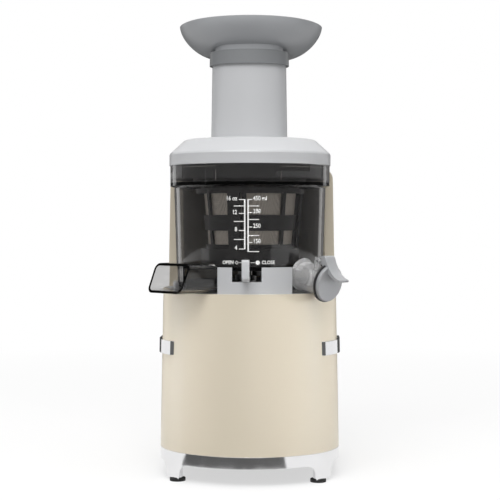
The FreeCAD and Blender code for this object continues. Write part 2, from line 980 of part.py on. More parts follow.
def make_juice_bowl():
    wall = S.bowl_wall
    inner_low = S.bowl_low_radius - wall
    slope = (S.bowl_high_radius - S.bowl_low_radius) / (S.bowl_step_low - S.bowl_low)
    floor_radius = inner_low + slope * (S.floor_top - S.bowl_low)
    under_radius = inner_low + slope * (S.floor_top - S.floor_thickness - S.bowl_low)
    inside_high = S.bowl_high_radius - wall
    collar_inner = S.bowl_collar_radius - wall
    under = S.floor_top - S.floor_thickness
    shell = turned("bowl_shell", [
        (S.bowl_hole_radius, under - 6),
        (S.boss_radius, under - 6),
        (S.boss_radius, under),
        (under_radius, under),
        (inner_low, S.bowl_low),
        (S.bowl_low_radius, S.bowl_low),
        (S.bowl_high_radius, S.bowl_step_low),
        (S.bowl_collar_radius, S.bowl_step_high),
        (S.bowl_collar_radius, S.bowl_top),
        (collar_inner, S.bowl_top),
        (collar_inner, S.bowl_step_high + 3),
        (inside_high, S.bowl_step_high),
        (floor_radius, S.floor_top),
        (S.bowl_hole_radius, S.floor_top),
    ])
    pin_x, pin_y = idler_place()
    idler_pin = cylinder(S.idler_pin_radius - S.running_gap, 10, pin_x, pin_y, S.floor_top - 1)
    lever_boss = cylinder(
        S.lever_boss_radius,
        S.lever_arm_height,
        S.lever_x,
        -S.lever_pivot_y,
        under - S.lever_arm_height + 0.5,
    )
    whole = fuse(shell, idler_pin, lever_boss)
    tools = [
        spout_tube(S.spout_radius - S.spout_wall, -S.spout_length, 0),
        duct_solid("bowl_duct_hole", S.duct_wall, 20),
        lever_notch(S.bowl_low - 1, under),
        cylinder(S.lever_pin_radius, under - S.lever_pin_low, S.lever_x, -S.lever_pivot_y, S.lever_pin_low),
        cylinder(
            S.pulp_hole_radius,
            20,
            S.lever_x - S.pulp_hole_left,
            S.lever_link_back - S.lever_pivot_y,
            under - 10,
        ),
    ]
    top = S.bayonet_low + S.bayonet_height
    for k in range(3):
        start = 120 * k + S.bayonet_first
        groove = ring_part(
            collar_inner + S.bayonet_depth,
            collar_inner - 1,
            S.bayonet_low,
            top,
            start,
            start + S.bayonet_sweep,
        )
        way_in = ring_part(
            collar_inner + S.bayonet_depth,
            collar_inner - 1,
            S.bayonet_low,
            S.bowl_top + 1,
            start + S.bayonet_sweep - S.lug_sweep - 3,
            start + S.bayonet_sweep,
        )
        tools += [groove, way_in]
    return node("juice_bowl", cut(whole, *tools))


def duct_corners():
    """Plan of the pulp duct's upper edge: root and mouth, back and front, and the way out of the mouth."""
    root_back = Vector(float(S.duct_root_back_x), float(S.duct_root_back_y), 0)
    mouth_back = Vector(float(S.duct_mouth_back_x), float(S.duct_mouth_back_y), 0)
    mouth_front = Vector(float(S.duct_mouth_front_x), float(S.duct_mouth_front_y), 0)
    root_front = Vector(float(S.duct_root_front_x), float(S.duct_root_front_y), 0)
    lip = mouth_front - mouth_back
    outwards = Vector(lip.y, -lip.x, 0).normalize()
    return root_back, mouth_back, mouth_front, root_front, outwards


def duct_points(inset, reach):
    """Plan of the pulp duct; the mouth may reach further out than its upper edge."""
    root_back, mouth_back, mouth_front, root_front, outwards = duct_corners()
    wall_back = (mouth_back - root_back).normalize()
    wall_front = (mouth_front - root_front).normalize()
    into_back = Vector(-wall_back.y, wall_back.x, 0)
    into_front = Vector(wall_front.y, -wall_front.x, 0)
    start_back = root_back + into_back * inset
    start_front = root_front + into_front * inset
    end_back = mouth_back + into_back * inset + wall_back * (reach / wall_back.dot(outwards))
    end_front = mouth_front + into_front * inset + wall_front * (reach / wall_front.dot(outwards))
    return [start_back, end_back, end_front, start_front]


def duct_solid(name, inset, reach):
    """Flared duct with rounded long edges, before its mouth is cut."""
    inset = as_size(inset)
    corners = duct_points(inset.value, reach)
    block = prism(
        name,
        "XY_Plane",
        S.duct_low + inset,
        S.duct_height - inset * 2,
        [(point.x, point.y) for point in corners],
    )

    def long_edge(edge):
        level = edge.BoundBox.ZLength < 0.01
        first = corners[1] - corners[0]
        last = corners[2] - corners[3]
        run = edge.Vertexes[1].Point - edge.Vertexes[0].Point
        beside = min(abs(run.cross(first).Length), abs(run.cross(last).Length)) < 1
        return level and beside

    return rounded(block, S.duct_bend - inset, long_edge)


def make_pulp_duct():
    reach = float(S.duct_overhang)
    outer = duct_solid("duct_outer", 0, reach)
    inner = duct_solid("duct_inner", S.duct_wall, reach + 20)
    mouth_back, mouth_front, outwards = (duct_corners()[k] for k in (1, 2, 4))
    mouth = (mouth_back + mouth_front) * 0.5
    lean = math.degrees(math.atan(reach / float(S.duct_height)))
    top = float(S.duct_low + S.duct_height)
    facing = math.degrees(math.atan2(outwards.y, outwards.x))
    frame = Placement(Vector(mouth.x, mouth.y, top), Rotation(Vector(0, 0, 1), facing))
    tilt = Placement(Vector(0, 0, 0), Rotation(Vector(0, 1, 0), -lean))
    mouth_cut = moved(box(0, 60, -60, 60, -60, 60), frame.multiply(tilt))
    return node("pulp_duct", cut(outer, mouth_cut, inner, bowl_outer("duct_trim", 0.02)))


def make_juice_spout():
    """Clear round tube with two ears for the cap's hinge pin."""
    end = -S.cap_thickness - S.cap_gasket_thickness - S.gap
    bore = S.spout_radius - S.spout_wall
    flare = along_spout(
        cone(S.spout_flare_radius, S.spout_radius, S.spout_flare_length),
        -float(S.spout_flare_start),
    )
    tube = cut(
        fuse(spout_tube(S.spout_radius, -S.spout_length, end), flare),
        spout_tube(bore, -S.spout_length - 1, 1),
        bowl_outer("spout_trim", 0.02),
    )
    rise = S.cap_pin_rise
    out = S.cap_pin_out
    ears = []
    for side in (-1, 1):
        near = side * (S.cap_arm_half_width + S.gap)
        far = side * (S.cap_arm_half_width + S.gap + S.ear_width)
        low, high = (near, far) if side > 0 else (far, near)
        ears.append(box(S.ear_foot, rise + S.ear_top, low, high, out - S.ear_back, out + S.ear_front))
    ears = along_spout(fuse(*ears))
    pin_hole = along_spout(across_spout(S.cap_pin_radius, 60, rise, out))
    ears = cut(ears, pin_hole, spout_tube(S.spout_radius - 0.6, -S.spout_length, 0))
    return node("juice_spout", fuse(tube, ears))


def make_cap_hinge_pin():
    length = (S.cap_arm_half_width + S.gap + S.ear_width) * 2
    pin = across_spout(S.cap_pin_radius, length, S.cap_pin_rise, S.cap_pin_out)
    return node("cap_hinge_pin", group(along_spout(pin)))


def make_cap_gasket():
    """Black seal behind the cap, with a tapered plug that enters the spout."""
    back = -S.cap_thickness - S.cap_gasket_thickness
    disc = spout_tube(S.cap_gasket_radius, back, -S.cap_thickness)
    seat = S.spout_radius - S.spout_wall - S.gap
    neck = seat - S.plug_step
    nose_length = S.cap_plug_length - S.plug_seat_length
    plug = fuse(
        cone(neck - S.plug_taper, neck, nose_length),
        cone(neck, seat, S.plug_seat_length, 0, 0, nose_length),
    )
    return node("cap_gasket", fuse(disc, along_spout(plug, back - S.cap_plug_length)))


def make_juice_cap():
    """Disc with a hook round the hinge pin and a tongue that sweeps down and out."""
    disc = rounded(
        cylinder(S.cap_radius, S.cap_thickness),
        S.cap_edge_bend,
        lambda edge: edge.CenterOfMass.z > float(S.cap_thickness) - 0.1 and len(edge.Vertexes) == 1,
    )
    disc = along_spout(disc, -float(S.cap_thickness))
    half = float(S.cap_arm_half_width)
    rise = float(S.cap_pin_rise)
    out = float(S.cap_pin_out)
    outer = [
        (rise + 4.6, out + 2.4),
        (rise + 4.7, out + 5.4),
        (rise + 0.6, out + 8.4),
        (rise - 4, out + 11.9),
        (rise - 8.2, out + 16.2),
        (rise - 10.7, out + 20.6),
        (rise - 11.6, out + 24.7),
    ]
    under = [
        (rise - 13.9, out + 24.5),
        (rise - 13.2, out + 20),
        (rise - 11, out + 15),
        (rise - 9, out + 11.3),
    ]
    top = Part.BSplineCurve()
    top.interpolate([Vector(x, 0, z) for x, z in outer])
    below = Part.BSplineCurve()
    below.interpolate([Vector(x, 0, z) for x, z in under])
    tip_middle = Vector(rise - 12.9, 0, out + 25.5)
    tip = Part.Arc(Vector(outer[-1][0], 0, outer[-1][1]), tip_middle, Vector(under[0][0], 0, under[0][1]))
    back = [under[-1], (rise - 9, out + 8.2), (rise - 1.2, out + 2.6), (rise + 1.4, out - 2), outer[0]]
    back_wire = Part.makePolygon([Vector(x, 0, z) for x, z in back])
    wire = Part.Wire([top.toShape(), tip.toShape(), below.toShape()] + back_wire.Edges)
    arm = doc.addObject("Part::Feature", "cap_arm")
    arm.Shape = Part.Face(wire).extrude(Vector(0, 2 * half, 0))
    arm.Placement = Placement(Vector(0, -half, 0), Rotation())
    hook = across_spout(S.cap_hook_radius, S.cap_arm_half_width * 2, rise, out)
    bore = across_spout(S.cap_pin_radius + S.running_gap, 60, rise, out)
    turn = Rotation(Vector(0, 1, 0), 25)
    mouth = moved(box(-1.5, 1.5, -30, 30, -8, 0), Placement(Vector(rise, 0, out), turn))
    arm = along_spout(cut(fuse(arm, hook), bore, mouth))
    behind = -S.cap_thickness - S.cap_gasket_thickness
    seal_space = spout_tube(S.cap_gasket_radius, behind, -S.cap_thickness)
    return node("juice_cap", fuse(disc, cut(arm, seal_space)))


def make_pulp_lever():
    x = S.lever_x
    pivot = -S.lever_pivot_y
    half = S.lever_width / 2
    low = S.lever_low
    arm_top = S.lever_low + S.lever_arm_height
    tip = -S.lever_tip_y
    side = prism("lever_side", "YZ_Plane", x - half, S.lever_width, [
        (pivot, low),
        (pivot, arm_top),
        (-S.lever_tab_y, arm_top),
        (-S.lever_tab_y - 1.5, arm_top + 4),
        (-S.lever_tab_y - 1.5, S.lever_top - 2),
        (-S.lever_tab_y - 3.5, S.lever_top, 2),
        (tip + 2, S.lever_top),
        (tip, S.lever_top - 2, 2),
        (tip, low + 3.2),
        (tip + 3.2, low),
    ])
    hub = cylinder(S.lever_hub_radius, S.lever_arm_height, x, pivot, low)
    out = x - S.lever_link_out
    peg = cylinder(S.lever_link_radius, S.lever_arm_height, out, pivot + S.lever_link_back, low)
    link = box(out, x, pivot, pivot + S.lever_link_out, low, arm_top)
    solid = fuse(side, hub, peg, link)
    bore = cylinder(S.lever_pin_radius + S.running_gap, 20, x, pivot, low - 5)
    return node("pulp_lever", cut(solid, bore))


def make_lever_pin():
    x = S.lever_x
    pivot = -S.lever_pivot_y
    under = S.floor_top - S.floor_thickness
    shank = cylinder(S.lever_pin_radius, under - S.lever_pin_low - 2, x, pivot, S.lever_pin_low + 2)
    head = cylinder(S.lever_pin_radius + 2.2, 2, x, pivot, S.lever_pin_low)
    return node("lever_pivot_pin", fuse(shank, head))


def make_bowl_seal():
    top = S.floor_top
    inner = S.shaft_radius + 0.3
    outer = S.bowl_hole_radius
    low = S.floor_top - S.floor_thickness - 6
    return node("bowl_seal", turned("bowl_seal_body", [
        (inner, low - 1),
        (outer + 1.6, low - 1),
        (outer + 1.6, low),
        (outer, low),
        (outer, top),
        (inner, top),
    ]))


# Strainer, brush and auger


def strainer_radius(z):
    return S.strainer_low_radius + S.strainer_slope * (as_size(z) - S.strainer_low)


def strainer_shell(name, outer_offset, inner_offset, z_low, z_high):
    """Conical shell along the strainer; offsets are measured outwards from its surface."""
    return turned(name, [
        (strainer_radius(z_low) + inner_offset, z_low),
        (strainer_radius(z_low) + outer_offset, z_low),
        (strainer_radius(z_high) + outer_offset, z_high),
        (strainer_radius(z_high) + inner_offset, z_high),
    ])


def make_strainer_frame():
    low = S.strainer_low
    top = S.strainer_top
    wall = S.strainer_wall
    foot = S.strainer_hole_radius
    shell = turned("strainer_shell", [
        (foot, low),
        (strainer_radius(low), low),
        (strainer_radius(top - 2), top - 2),
        (S.strainer_flange_radius, top - 2),
        (S.strainer_flange_radius, top + 14),
        (S.strainer_flange_radius - 2, top + 14),
        (S.strainer_flange_radius - 2, top),
        (strainer_radius(top) - wall, top),
        (strainer_radius(low + 3) - wall, low + 3),
        (foot, low + 3),
    ])
    count = int(float(S.strainer_ribs))
    step = 360 / count
    tools = []
    for k in range(count):
        start = float(S.strainer_first_rib) + k * step + float(S.strainer_rib_turn) / 2
        end = start + step - float(S.strainer_rib_turn)
        for z_low, z_high in ((S.window_low, S.window_low_top), (S.window_high, S.window_high_top)):
            tools.append(ring_part(48, 30, z_low, z_high, start, end))
    return node("strainer_frame", cut(shell, *tools))


def make_strainer_mesh():
    wall = S.strainer_wall
    low = S.strainer_low + 3
    top = S.strainer_top - 3
    return node("strainer_mesh", strainer_shell("mesh_shell", -wall, -wall - S.mesh_wall, low, top))


def brush_boxes(width):
    """Three radial blocks that keep the brush's arms."""
    half = as_size(width) / 2
    blocks = []
    for k in range(3):
        block = box(-half, half, -60, -20, S.brush_gear_low, S.lid_skirt_radius + 200)
        blocks.append(turned_round(block, (0, 0, 1), float(S.brush_arm_turn) + 120 * k))
    return fuse(*blocks)


def make_brush_frame():
    gap = S.brush_gap
    outer = gap + S.brush_wall
    low = S.brush_gear_low
    turn = S.brush_ring_top
    arms = common(
        strainer_shell("brush_arms", outer, gap, turn - 1, S.brush_top),
        brush_boxes(S.brush_arm_width),
    )
    hoop = strainer_shell("brush_hoop", outer, gap, S.brush_hoop_low, S.brush_top)
    ring_outer = strainer_radius(turn) + outer
    ring_low = turned("brush_ring", [
        (ring_inner_radius(), low),
        (ring_outer, low),
        (ring_outer, turn),
        (strainer_radius(turn) + gap, turn),
        (strainer_radius(S.strainer_low) + 1, S.strainer_low - 0.6),
        (ring_inner_radius(), S.strainer_low - 0.6),
    ])
    teeth = gear_body(
        "ring_teeth",
        float(S.ring_teeth),
        float(S.brush_module),
        float(low) - 1,
        float(S.brush_gear_height) + 5,
        turn=brush_direction() + 180 / float(S.ring_teeth),
        internal=True,
    )
    return node("brush_frame", cut(fuse(arms, hoop, ring_low), teeth))


def ring_inner_radius():
    """Inside of the ring before its teeth are cut."""
    return S.brush_module * (S.ring_teeth / 2 - 0.8)


def make_brush_wipers():
    gap = S.brush_gap
    wipers = common(
        strainer_shell("wiper_shell", gap, 0.4, S.brush_ring_top, S.brush_top - 4),
        brush_boxes(S.wiper_width),
    )
    return node("brush_wipers", wipers)


def brush_direction():
    """Direction from the axis to the idler, in degrees from +X."""
    return 60.0


def idler_place():
    reach = (S.sun_teeth + S.idler_teeth) * S.brush_module / 2
    turn = math.radians(brush_direction())
    return reach * round(math.cos(turn), 6), reach * round(math.sin(turn), 6)


def gear_outline(teeth, module, turn, internal):
    """Toothed outline with flanks as three-point arcs on the involute."""
    pressure = math.radians(25)
    pitch = teeth * module / 2
    base = pitch * math.cos(pressure)
    outside, inside = (1.1, 0.8) if internal else (0.8, 1.1)
    tip = pitch + outside * module
    root = pitch - inside * module
    slack = 0.06 * module / pitch
    half_tooth = math.pi / (2 * teeth) + (slack if internal else -slack)

    def half_angle(radius):
        tilt = math.acos(min(1.0, base / radius))
        return half_tooth + math.tan(pressure) - pressure - (math.tan(tilt) - tilt)

    def at(radius, angle):
        return Vector(radius * math.cos(angle), radius * math.sin(angle), 0)

    edges = []
    middle = (tip + root) / 2
    for k in range(int(teeth)):
        centre = math.radians(turn) + 2 * math.pi * k / teeth
        following = centre + 2 * math.pi / teeth
        flank_in = [at(radius, centre - half_angle(radius)) for radius in (root, middle, tip)]
        flank_out = [at(radius, centre + half_angle(radius)) for radius in (tip, middle, root)]
        gap_end = at(root, following - half_angle(root))
        edges.append(Part.Arc(*flank_in).toShape())
        edges.append(Part.Arc(flank_in[2], at(tip, centre), flank_out[0]).toShape())
        edges.append(Part.Arc(*flank_out).toShape())
        edges.append(Part.Arc(flank_out[2], at(root, centre + math.pi / teeth), gap_end).toShape())
    return Part.Wire(edges)


def gear_body(name, teeth, module, z, height, turn=0.0, x=0.0, y=0.0, internal=False):
    made = doc.addObject("Part::Feature", name)
    solid = Part.Face(gear_outline(teeth, module, turn, internal)).extrude(Vector(0, 0, height))
    made.Shape = solid
    made.Placement = Placement(Vector(float(x), float(y), float(z)), Rotation())
    return made


def make_auger():
    low = S.strainer_low
    foot = low - 1.2
    core = turned("auger_core", [
        (0, foot),
        (S.auger_flange_radius, foot),
        (S.auger_flange_radius, low + 3.6),
        (S.auger_low_radius, low + 8),
        (S.auger_high_radius, S.auger_core_top),
        (S.auger_pin_radius + 2, S.auger_core_top + 12),
        (S.auger_pin_radius, S.auger_core_top + 14),
        (S.auger_pin_radius, S.auger_pin_top),
        (0, S.auger_pin_top),
    ])
    flights = [auger_flight(k * 180) for k in range(2)]
    socket = hexagon(S.shaft_radius - 0.1 + 0.35, S.hexagon_top + 1 - foot + 1, foot - 1)
    return node("auger", cut(fuse(core, *flights), socket))


def auger_flight(turn):
    """Helical rib of constant reach on the auger's core."""
    height = float(S.flight_height)
    pitch = float(S.flight_pitch)
    low = float(S.strainer_low) + 7
    reach = float(S.flight_radius)
    root = float(S.flight_root_radius)
    width = float(S.flight_width)
    spine = Part.makeHelix(pitch, height, reach)
    corners = [
        Vector(root, 0, -width * 0.8),
        Vector(reach, 0, -width / 2),
        Vector(reach, 0, width / 2),
        Vector(root, 0, width * 0.8),
    ]
    profile = Part.makePolygon(corners + corners[:1])
    shell = Part.BRepOffsetAPI.MakePipeShell(Part.Wire(spine.Edges))
    shell.setFrenetMode(True)
    shell.add(profile)
    shell.build()
    shell.makeSolid()
    made = doc.addObject("Part::Feature", "flight")
    made.Shape = shell.shape()
    made.Placement = Placement(Vector(0, 0, low), Rotation(Vector(0, 0, 1), turn))
    return made


def make_auger_gear():
    low = float(S.brush_gear_low)
    height = float(S.strainer_low) - 1.2 - low
    teeth = gear_body(
        "sun", float(S.sun_teeth), float(S.brush_module), low, height, turn=brush_direction()
    )
    socket = hexagon(S.shaft_radius - 0.1 + 0.35, 20, S.brush_gear_low - 5)
    return node("auger_gear", cut(teeth, socket))


def make_brush_idler():
    x, y = idler_place()
    turn = brush_direction() + 180 + 180 / float(S.idler_teeth)
    low = float(S.brush_gear_low)
    teeth = gear_body(
        "idler", float(S.idler_teeth), float(S.brush_module), low, float(S.brush_gear_height), turn, x, y
    )
    return node("brush_idler", cut(teeth, cylinder(S.idler_pin_radius, 20, x, y, S.brush_gear_low - 5)))


# Lid and tray


def tube_sections(inset, z_low, z_high):
    """Oval feed tube between two heights, drawn in by the inset."""
    inset = as_size(inset)
    sections = []
    for z, half_width, half_depth in (
        (z_low, S.tube_low_half_width, S.tube_low_half_depth),
        (z_high, S.tube_high_half_width, S.tube_high_half_depth),
    ):
        sections.append((z, oval(half_width - inset, half_depth - inset, S.tube_roundness, -S.tube_y)))
    return sections


def make_lid():
    wall = S.lid_wall
    top = S.lid_top
    socket = S.lid_socket_radius
    shell = turned("lid_shell", [
        (0, top - wall),
        (S.lid_roof_radius - 1.2, S.lid_shoulder_high - wall + 0.6),
        (socket - S.lid_socket_wall, S.lid_shoulder_low - 0.4),
        (socket - S.lid_socket_wall, S.lid_socket_low),
        (socket, S.lid_socket_low),
        (socket, S.bowl_top + S.gap),
        (S.lid_skirt_radius, S.bowl_top + S.gap),
        (S.lid_skirt_radius, S.lid_crease),
        (S.lid_skirt_radius - 0.8, S.lid_shoulder_low),
        (S.lid_roof_radius, S.lid_shoulder_high),
        (S.lid_roof_radius - 2, S.lid_shoulder_high + 0.8),
        (34, top),
        (0, top),
    ])
    low = S.lid_top - wall - 1
    tube = loft("tube_outer", tube_sections(0, low, S.tube_top))
    bore = loft("tube_bore", tube_sections(S.tube_wall, S.lid_boss_low - 10, S.tube_top + 1))
    bridge = common(
        box(-50, 50, -3, 3, S.lid_boss_low + 2, top - wall),
        loft("bridge_trim", tube_sections(-1.5, S.lid_boss_low - 10, S.tube_top + 1)),
    )
    boss = cylinder(S.lid_boss_radius, S.lid_top - wall - S.lid_boss_low - 4, 0, 0, S.lid_boss_low)
    webs = box(-S.lid_boss_radius, S.lid_boss_radius, 2, 22, S.lid_boss_low + 4, top - wall + 0.5)
    lugs = []
    for k in range(3):
        start = 120 * k + S.bayonet_first + 1.5
        lugs.append(
            ring_part(
                socket + S.bayonet_depth,
                socket - 1,
                S.bayonet_low + 0.6,
                S.bayonet_low + S.bayonet_height - 0.6,
                start,
                start + S.lug_sweep,
            )
        )
    hollow = cut(fuse(shell, tube), bore)
    bush_hole = cylinder(S.lid_bush_radius, S.lid_top - wall - S.lid_boss_low - 6, 0, 0, S.lid_boss_low)
    return node("juicer_lid", cut(fuse(hollow, bridge, webs, boss, *lugs), bush_hole))


def make_lid_bush():
    inner = S.auger_pin_radius + S.running_gap
    return node("lid_bush", ring(S.lid_bush_radius, inner, S.lid_boss_low, S.lid_boss_low + 10))


def make_lid_seal():
    low = S.strainer_top + 14 + 0.3
    outer = S.strainer_flange_radius + 1
    inner = S.strainer_flange_radius - 4
    return node("lid_seal", ring(outer, inner, low, low + 4))


def tray_section(scale, z, inset=0):
    half = (S.tray_half_width - inset) * scale
    y = S.tray_back_shift - S.tube_y
    return (z, oval(half, half * S.tray_depth_ratio, S.tray_roundness, y))


def make_hopper_tray():
    top = S.tray_top
    wall = S.tray_wall
    collar_top = S.tray_collar_top
    outer_half = S.tray_collar_half_width
    lean = S.tube_low_half_width - S.tube_low_half_depth
    neck_half = S.tray_neck_half_width
    dish = loft("dish_outer", [
        tray_section(0.60, collar_top + 1.2),
        tray_section(0.78, top - 20.9),
        tray_section(0.902, top - 13.4),
        tray_section(0.973, top - 6),
        tray_section(1.0, top),
    ], ruled=False)
    hollow = loft("dish_inner", [
        tray_section(0.56, collar_top + 4.4),
        tray_section(0.74, top - 18.4),
        tray_section(0.868, top - 11.4),
        tray_section(0.94, top - 4.6),
        tray_section(0.962, top + 0.6),
    ], ruled=False)
    collar = loft("collar_outer", [
        (S.tray_collar_low, oval(outer_half, outer_half - lean, S.tube_roundness, -S.tube_y)),
        (collar_top, oval(outer_half - 0.3, outer_half - lean - 0.3, S.tube_roundness, -S.tube_y)),
    ])
    neck = loft("neck_outer", [
        (collar_top - 1, oval(neck_half, neck_half - lean, S.tube_roundness, -S.tube_y)),
        (top - 14, oval(neck_half, neck_half - lean, S.tube_roundness, -S.tube_y)),
    ])
    seat_half = S.tube_high_half_width + 0.3
    seat = loft("collar_inner", [
        (S.tray_collar_low - 1, oval(seat_half, seat_half - lean, S.tube_roundness, -S.tube_y)),
        (S.tube_top + 0.3, oval(seat_half, seat_half - lean, S.tube_roundness, -S.tube_y)),
    ])
    bore_half = neck_half - wall
    bore = loft("neck_bore", [
        (S.tube_top - 1, oval(bore_half, bore_half - lean, S.tube_roundness, -S.tube_y)),
        (top + 1, oval(bore_half, bore_half - lean, S.tube_roundness, -S.tube_y)),
    ])
    solid = fuse(cut(fuse(dish, neck), hollow), collar)
    return node("hopper_tray", cut(solid, seat, bore))


# Motor and gearbox


def gear_centre():
    return (S.pinion_teeth + S.large_teeth) * S.gear_module / 2


def gearbox_shape(inset, z_low, z_high):
    inset = as_size(inset)
    z_low = as_size(z_low)
    y = gear_centre()
    height = as_size(z_high) - z_low
    front = cylinder(S.case_front_radius - inset, height, 0, 0, z_low)
    rear = cylinder(S.case_rear_radius - inset, height, 0, y, z_low)
    half = S.case_rear_radius - inset
    return fuse(front, rear, box(-half, half, 0, y, z_low, z_low + height))


def make_motor():
    wall = S.can_wall
    low = S.motor_low
    top = S.motor_top
    radius = S.can_radius
    bearing = S.bearing_radius
    shaft = S.motor_shaft_radius
    node("motor_can", turned("can", [
        (bearing, top - S.bearing_height - wall),
        (bearing, top),
        (radius, top),
        (radius, low + 4),
        (radius - wall, low + 4),
        (radius - wall, top - wall),
        (bearing + wall, top - wall),
        (bearing + wall, top - S.bearing_height - wall),
    ]))
    node("motor_end_cap", turned("end_cap", [
        (bearing, low),
        (radius, low),
        (radius, low + 4),
        (bearing + wall, low + 4),
        (bearing + wall, low + 9),
        (bearing, low + 9),
    ]))
    bearings = [
        ring(bearing, shaft + S.running_gap, low + 1, low + 1 + S.bearing_height),
        ring(bearing, shaft + S.running_gap, top - S.bearing_height - 1, top - 1),
    ]
    node("motor_bearings", group(*bearings))
    slots = []
    for k in range(12):
        slot = box(S.stator_bore - 2, radius - wall - 7, -2, 2, S.stator_low - 1, S.stator_top + 1)
        slots.append(turned_round(slot, (0, 0, 1), 30 * k))
    core = ring(radius - wall, S.stator_bore, S.stator_low, S.stator_top)
    node("motor_stator", cut(core, *slots))
    inner = S.stator_bore + 3
    outer = radius - wall - 7
    height = S.winding_height
    windings = [
        ring(outer, inner, S.stator_low - height, S.stator_low),
        ring(outer, inner, S.stator_top, S.stator_top + height - 3),
    ]
    node("motor_winding", group(*windings))
    node("motor_rotor", ring(S.rotor_radius, shaft, S.stator_low, S.stator_top))
    node("motor_shaft", cylinder(shaft, S.stage_one_low - low - 1, 0, 0, low + 1))
    stub = S.gear_module * S.pinion_teeth / 2 - 1.3
    pinion = fuse(
        gear_body(
            "pinion",
            float(S.pinion_teeth),
            float(S.gear_module),
            float(S.stage_one_low),
            float(S.stage_one_height),
            turn=90,
        ),
        cylinder(stub, S.stage_one_height, 0, 0, S.stage_one_low),
    )
    node("motor_pinion", pinion)
    blades = []
    for k in range(9):
        blade = box(bearing + wall + 3, S.fan_radius, -0.8, 0.8, S.fan_low, S.fan_low + S.fan_height - 1)
        blades.append(turned_round(blade, (0, 0, 1), 40 * k))
    hub = ring(13, shaft, S.fan_low - 1, S.fan_low + 3)
    disc = ring(S.fan_radius, shaft, S.fan_low - 1, S.fan_low)
    node("cooling_fan", fuse(hub, disc, *blades))
    node("motor_cushion", ring(radius, radius - 8, S.cover_low + S.cover_thickness, low))


def make_gearbox():
    y = gear_centre()
    low = S.case_low
    split = S.case_split
    top = S.case_top
    wall = S.case_wall
    shaft = S.shaft_radius
    case = cut(
        gearbox_shape(0, low, split),
        gearbox_shape(wall, low + wall, split + 1),
        cylinder(S.motor_shaft_radius + 2, 10, 0, 0, low - 1),
        cylinder(S.gear_pin_radius, 10, 0, y, low - 1),
    )
    node("gearbox_case", case)
    under_deck = S.deck_height - S.seat_thickness - S.housing_wall
    cover = cut(
        fuse(
            gearbox_shape(0, split, top),
            cylinder(S.bearing_radius + 3, under_deck - top, 0, 0, top),
        ),
        gearbox_shape(wall, split - 1, top - wall - 8),
        cylinder(S.bearing_radius, 60, 0, 0, S.output_bearing_low),
        cylinder(shaft + 1, 60, 0, 0, split),
        cylinder(S.gear_pin_radius, 40, 0, y, split),
    )
    node("gearbox_cover", cover)
    node("gear_pin", group(cylinder(S.gear_pin_radius, top - low - 1, 0, y, low)))
    large = gear_body(
        "large_gear",
        float(S.large_teeth),
        float(S.gear_module),
        float(S.stage_one_low),
        float(S.stage_one_height),
        turn=270 + 180 / float(S.large_teeth),
        y=float(y),
    )
    small = gear_body(
        "small_gear",
        float(S.small_teeth),
        float(S.gear_module),
        float(S.stage_one_low) + float(S.stage_one_height),
        float(S.stage_two_low + S.stage_two_height - S.stage_one_low - S.stage_one_height),
        turn=270,
        y=float(y),
    )
    bore = cylinder(S.gear_pin_radius + S.running_gap, 60, 0, y, S.stage_one_low - 20)
    node("compound_gear", cut(fuse(large, small), bore))
    output = gear_body(
        "output",
        float(S.output_teeth),
        float(S.gear_module),
        float(S.stage_two_low) + 0.5,
        float(S.stage_two_height) - 1,
        turn=90 + 180 / float(S.output_teeth),
    )
    node("output_gear", cut(output, cylinder(shaft, 60, 0, 0, S.case_low)))
    round_part = cylinder(shaft, S.hexagon_low - S.stage_two_low - 0.5, 0, 0, S.stage_two_low + 0.5)
    hex_part = hexagon(shaft - 0.1, S.hexagon_top - S.hexagon_low, S.hexagon_low)
    node("output_shaft", fuse(round_part, hex_part))
    inner = shaft + S.running_gap
    node("output_bearing", ring(S.bearing_radius, inner, S.output_bearing_low, S.output_bearing_low + 9))


def make_electrics():
    x = S.board_x
    face = x + S.board_thickness
    pieces = [box(x, face, S.board_front, S.board_back, S.board_low, S.board_top)]
    for k in range(3):
        y = S.board_part_front + S.board_part_pitch * k
        far = face + S.board_part_height
        pieces.append(box(face, far, y, y + S.board_part_length, S.board_part_low, S.board_part_top))
    node("control_board", fuse(*pieces))
    half = S.lock_half_width
    middle = (S.lock_front + S.lock_back) / 2
    block = box(-half, half, S.lock_front, S.lock_back, S.lock_low, S.lock_top)
    plunger = cylinder(S.lock_plunger_radius, S.lock_plunger_height, 0, middle, S.lock_top)
    node("interlock_switch", fuse(block, plunger))


make_body_housing()
make_base_skirt()
make_foot_pads()
make_bottom_cover()
make_cover_screws()
make_screw_posts()
make_side_badges()
make_bowl_seat()
make_shaft_seal()
make_gland()
make_juice_bowl()
make_pulp_duct()
make_juice_spout()
make_cap_hinge_pin()
make_cap_gasket()
make_juice_cap()
make_pulp_lever()
make_lever_pin()
make_bowl_seal()
make_strainer_frame()
make_strainer_mesh()
make_brush_frame()
make_brush_wipers()
make_auger()
make_auger_gear()
make_brush_idler()
make_lid()
make_lid_bush()
make_lid_seal()
make_hopper_tray()
make_motor()
make_gearbox()
make_electrics()
make_switch()

doc.recompute()
failed = [made.Name for made in doc.Objects if "Invalid" in made.State or "Error" in made.State]
for name, made in NODES.items():
    if made.Shape.isNull() or not made.Shape.isValid() or not made.Shape.Solids:
        failed.append(name)
if failed:
    raise RuntimeError(f"failed objects: {failed}")

os.makedirs("parts", exist_ok=True)
for name, made in NODES.items():
    made.Shape.exportStep(f"parts/{name}.step")
    bounds = made.Shape.BoundBox
    print(
        f"{name:18s} solids {len(made.Shape.Solids)} volume {made.Shape.Volume:10.0f}",
        f"x {bounds.XMin:7.1f} {bounds.XMax:7.1f} y {bounds.YMin:7.1f} {bounds.YMax:7.1f}",
        f"z {bounds.ZMin:6.1f} {bounds.ZMax:6.1f}",
    )
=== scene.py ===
"""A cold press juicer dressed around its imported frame: materials, print and small moulded detail."""

import math

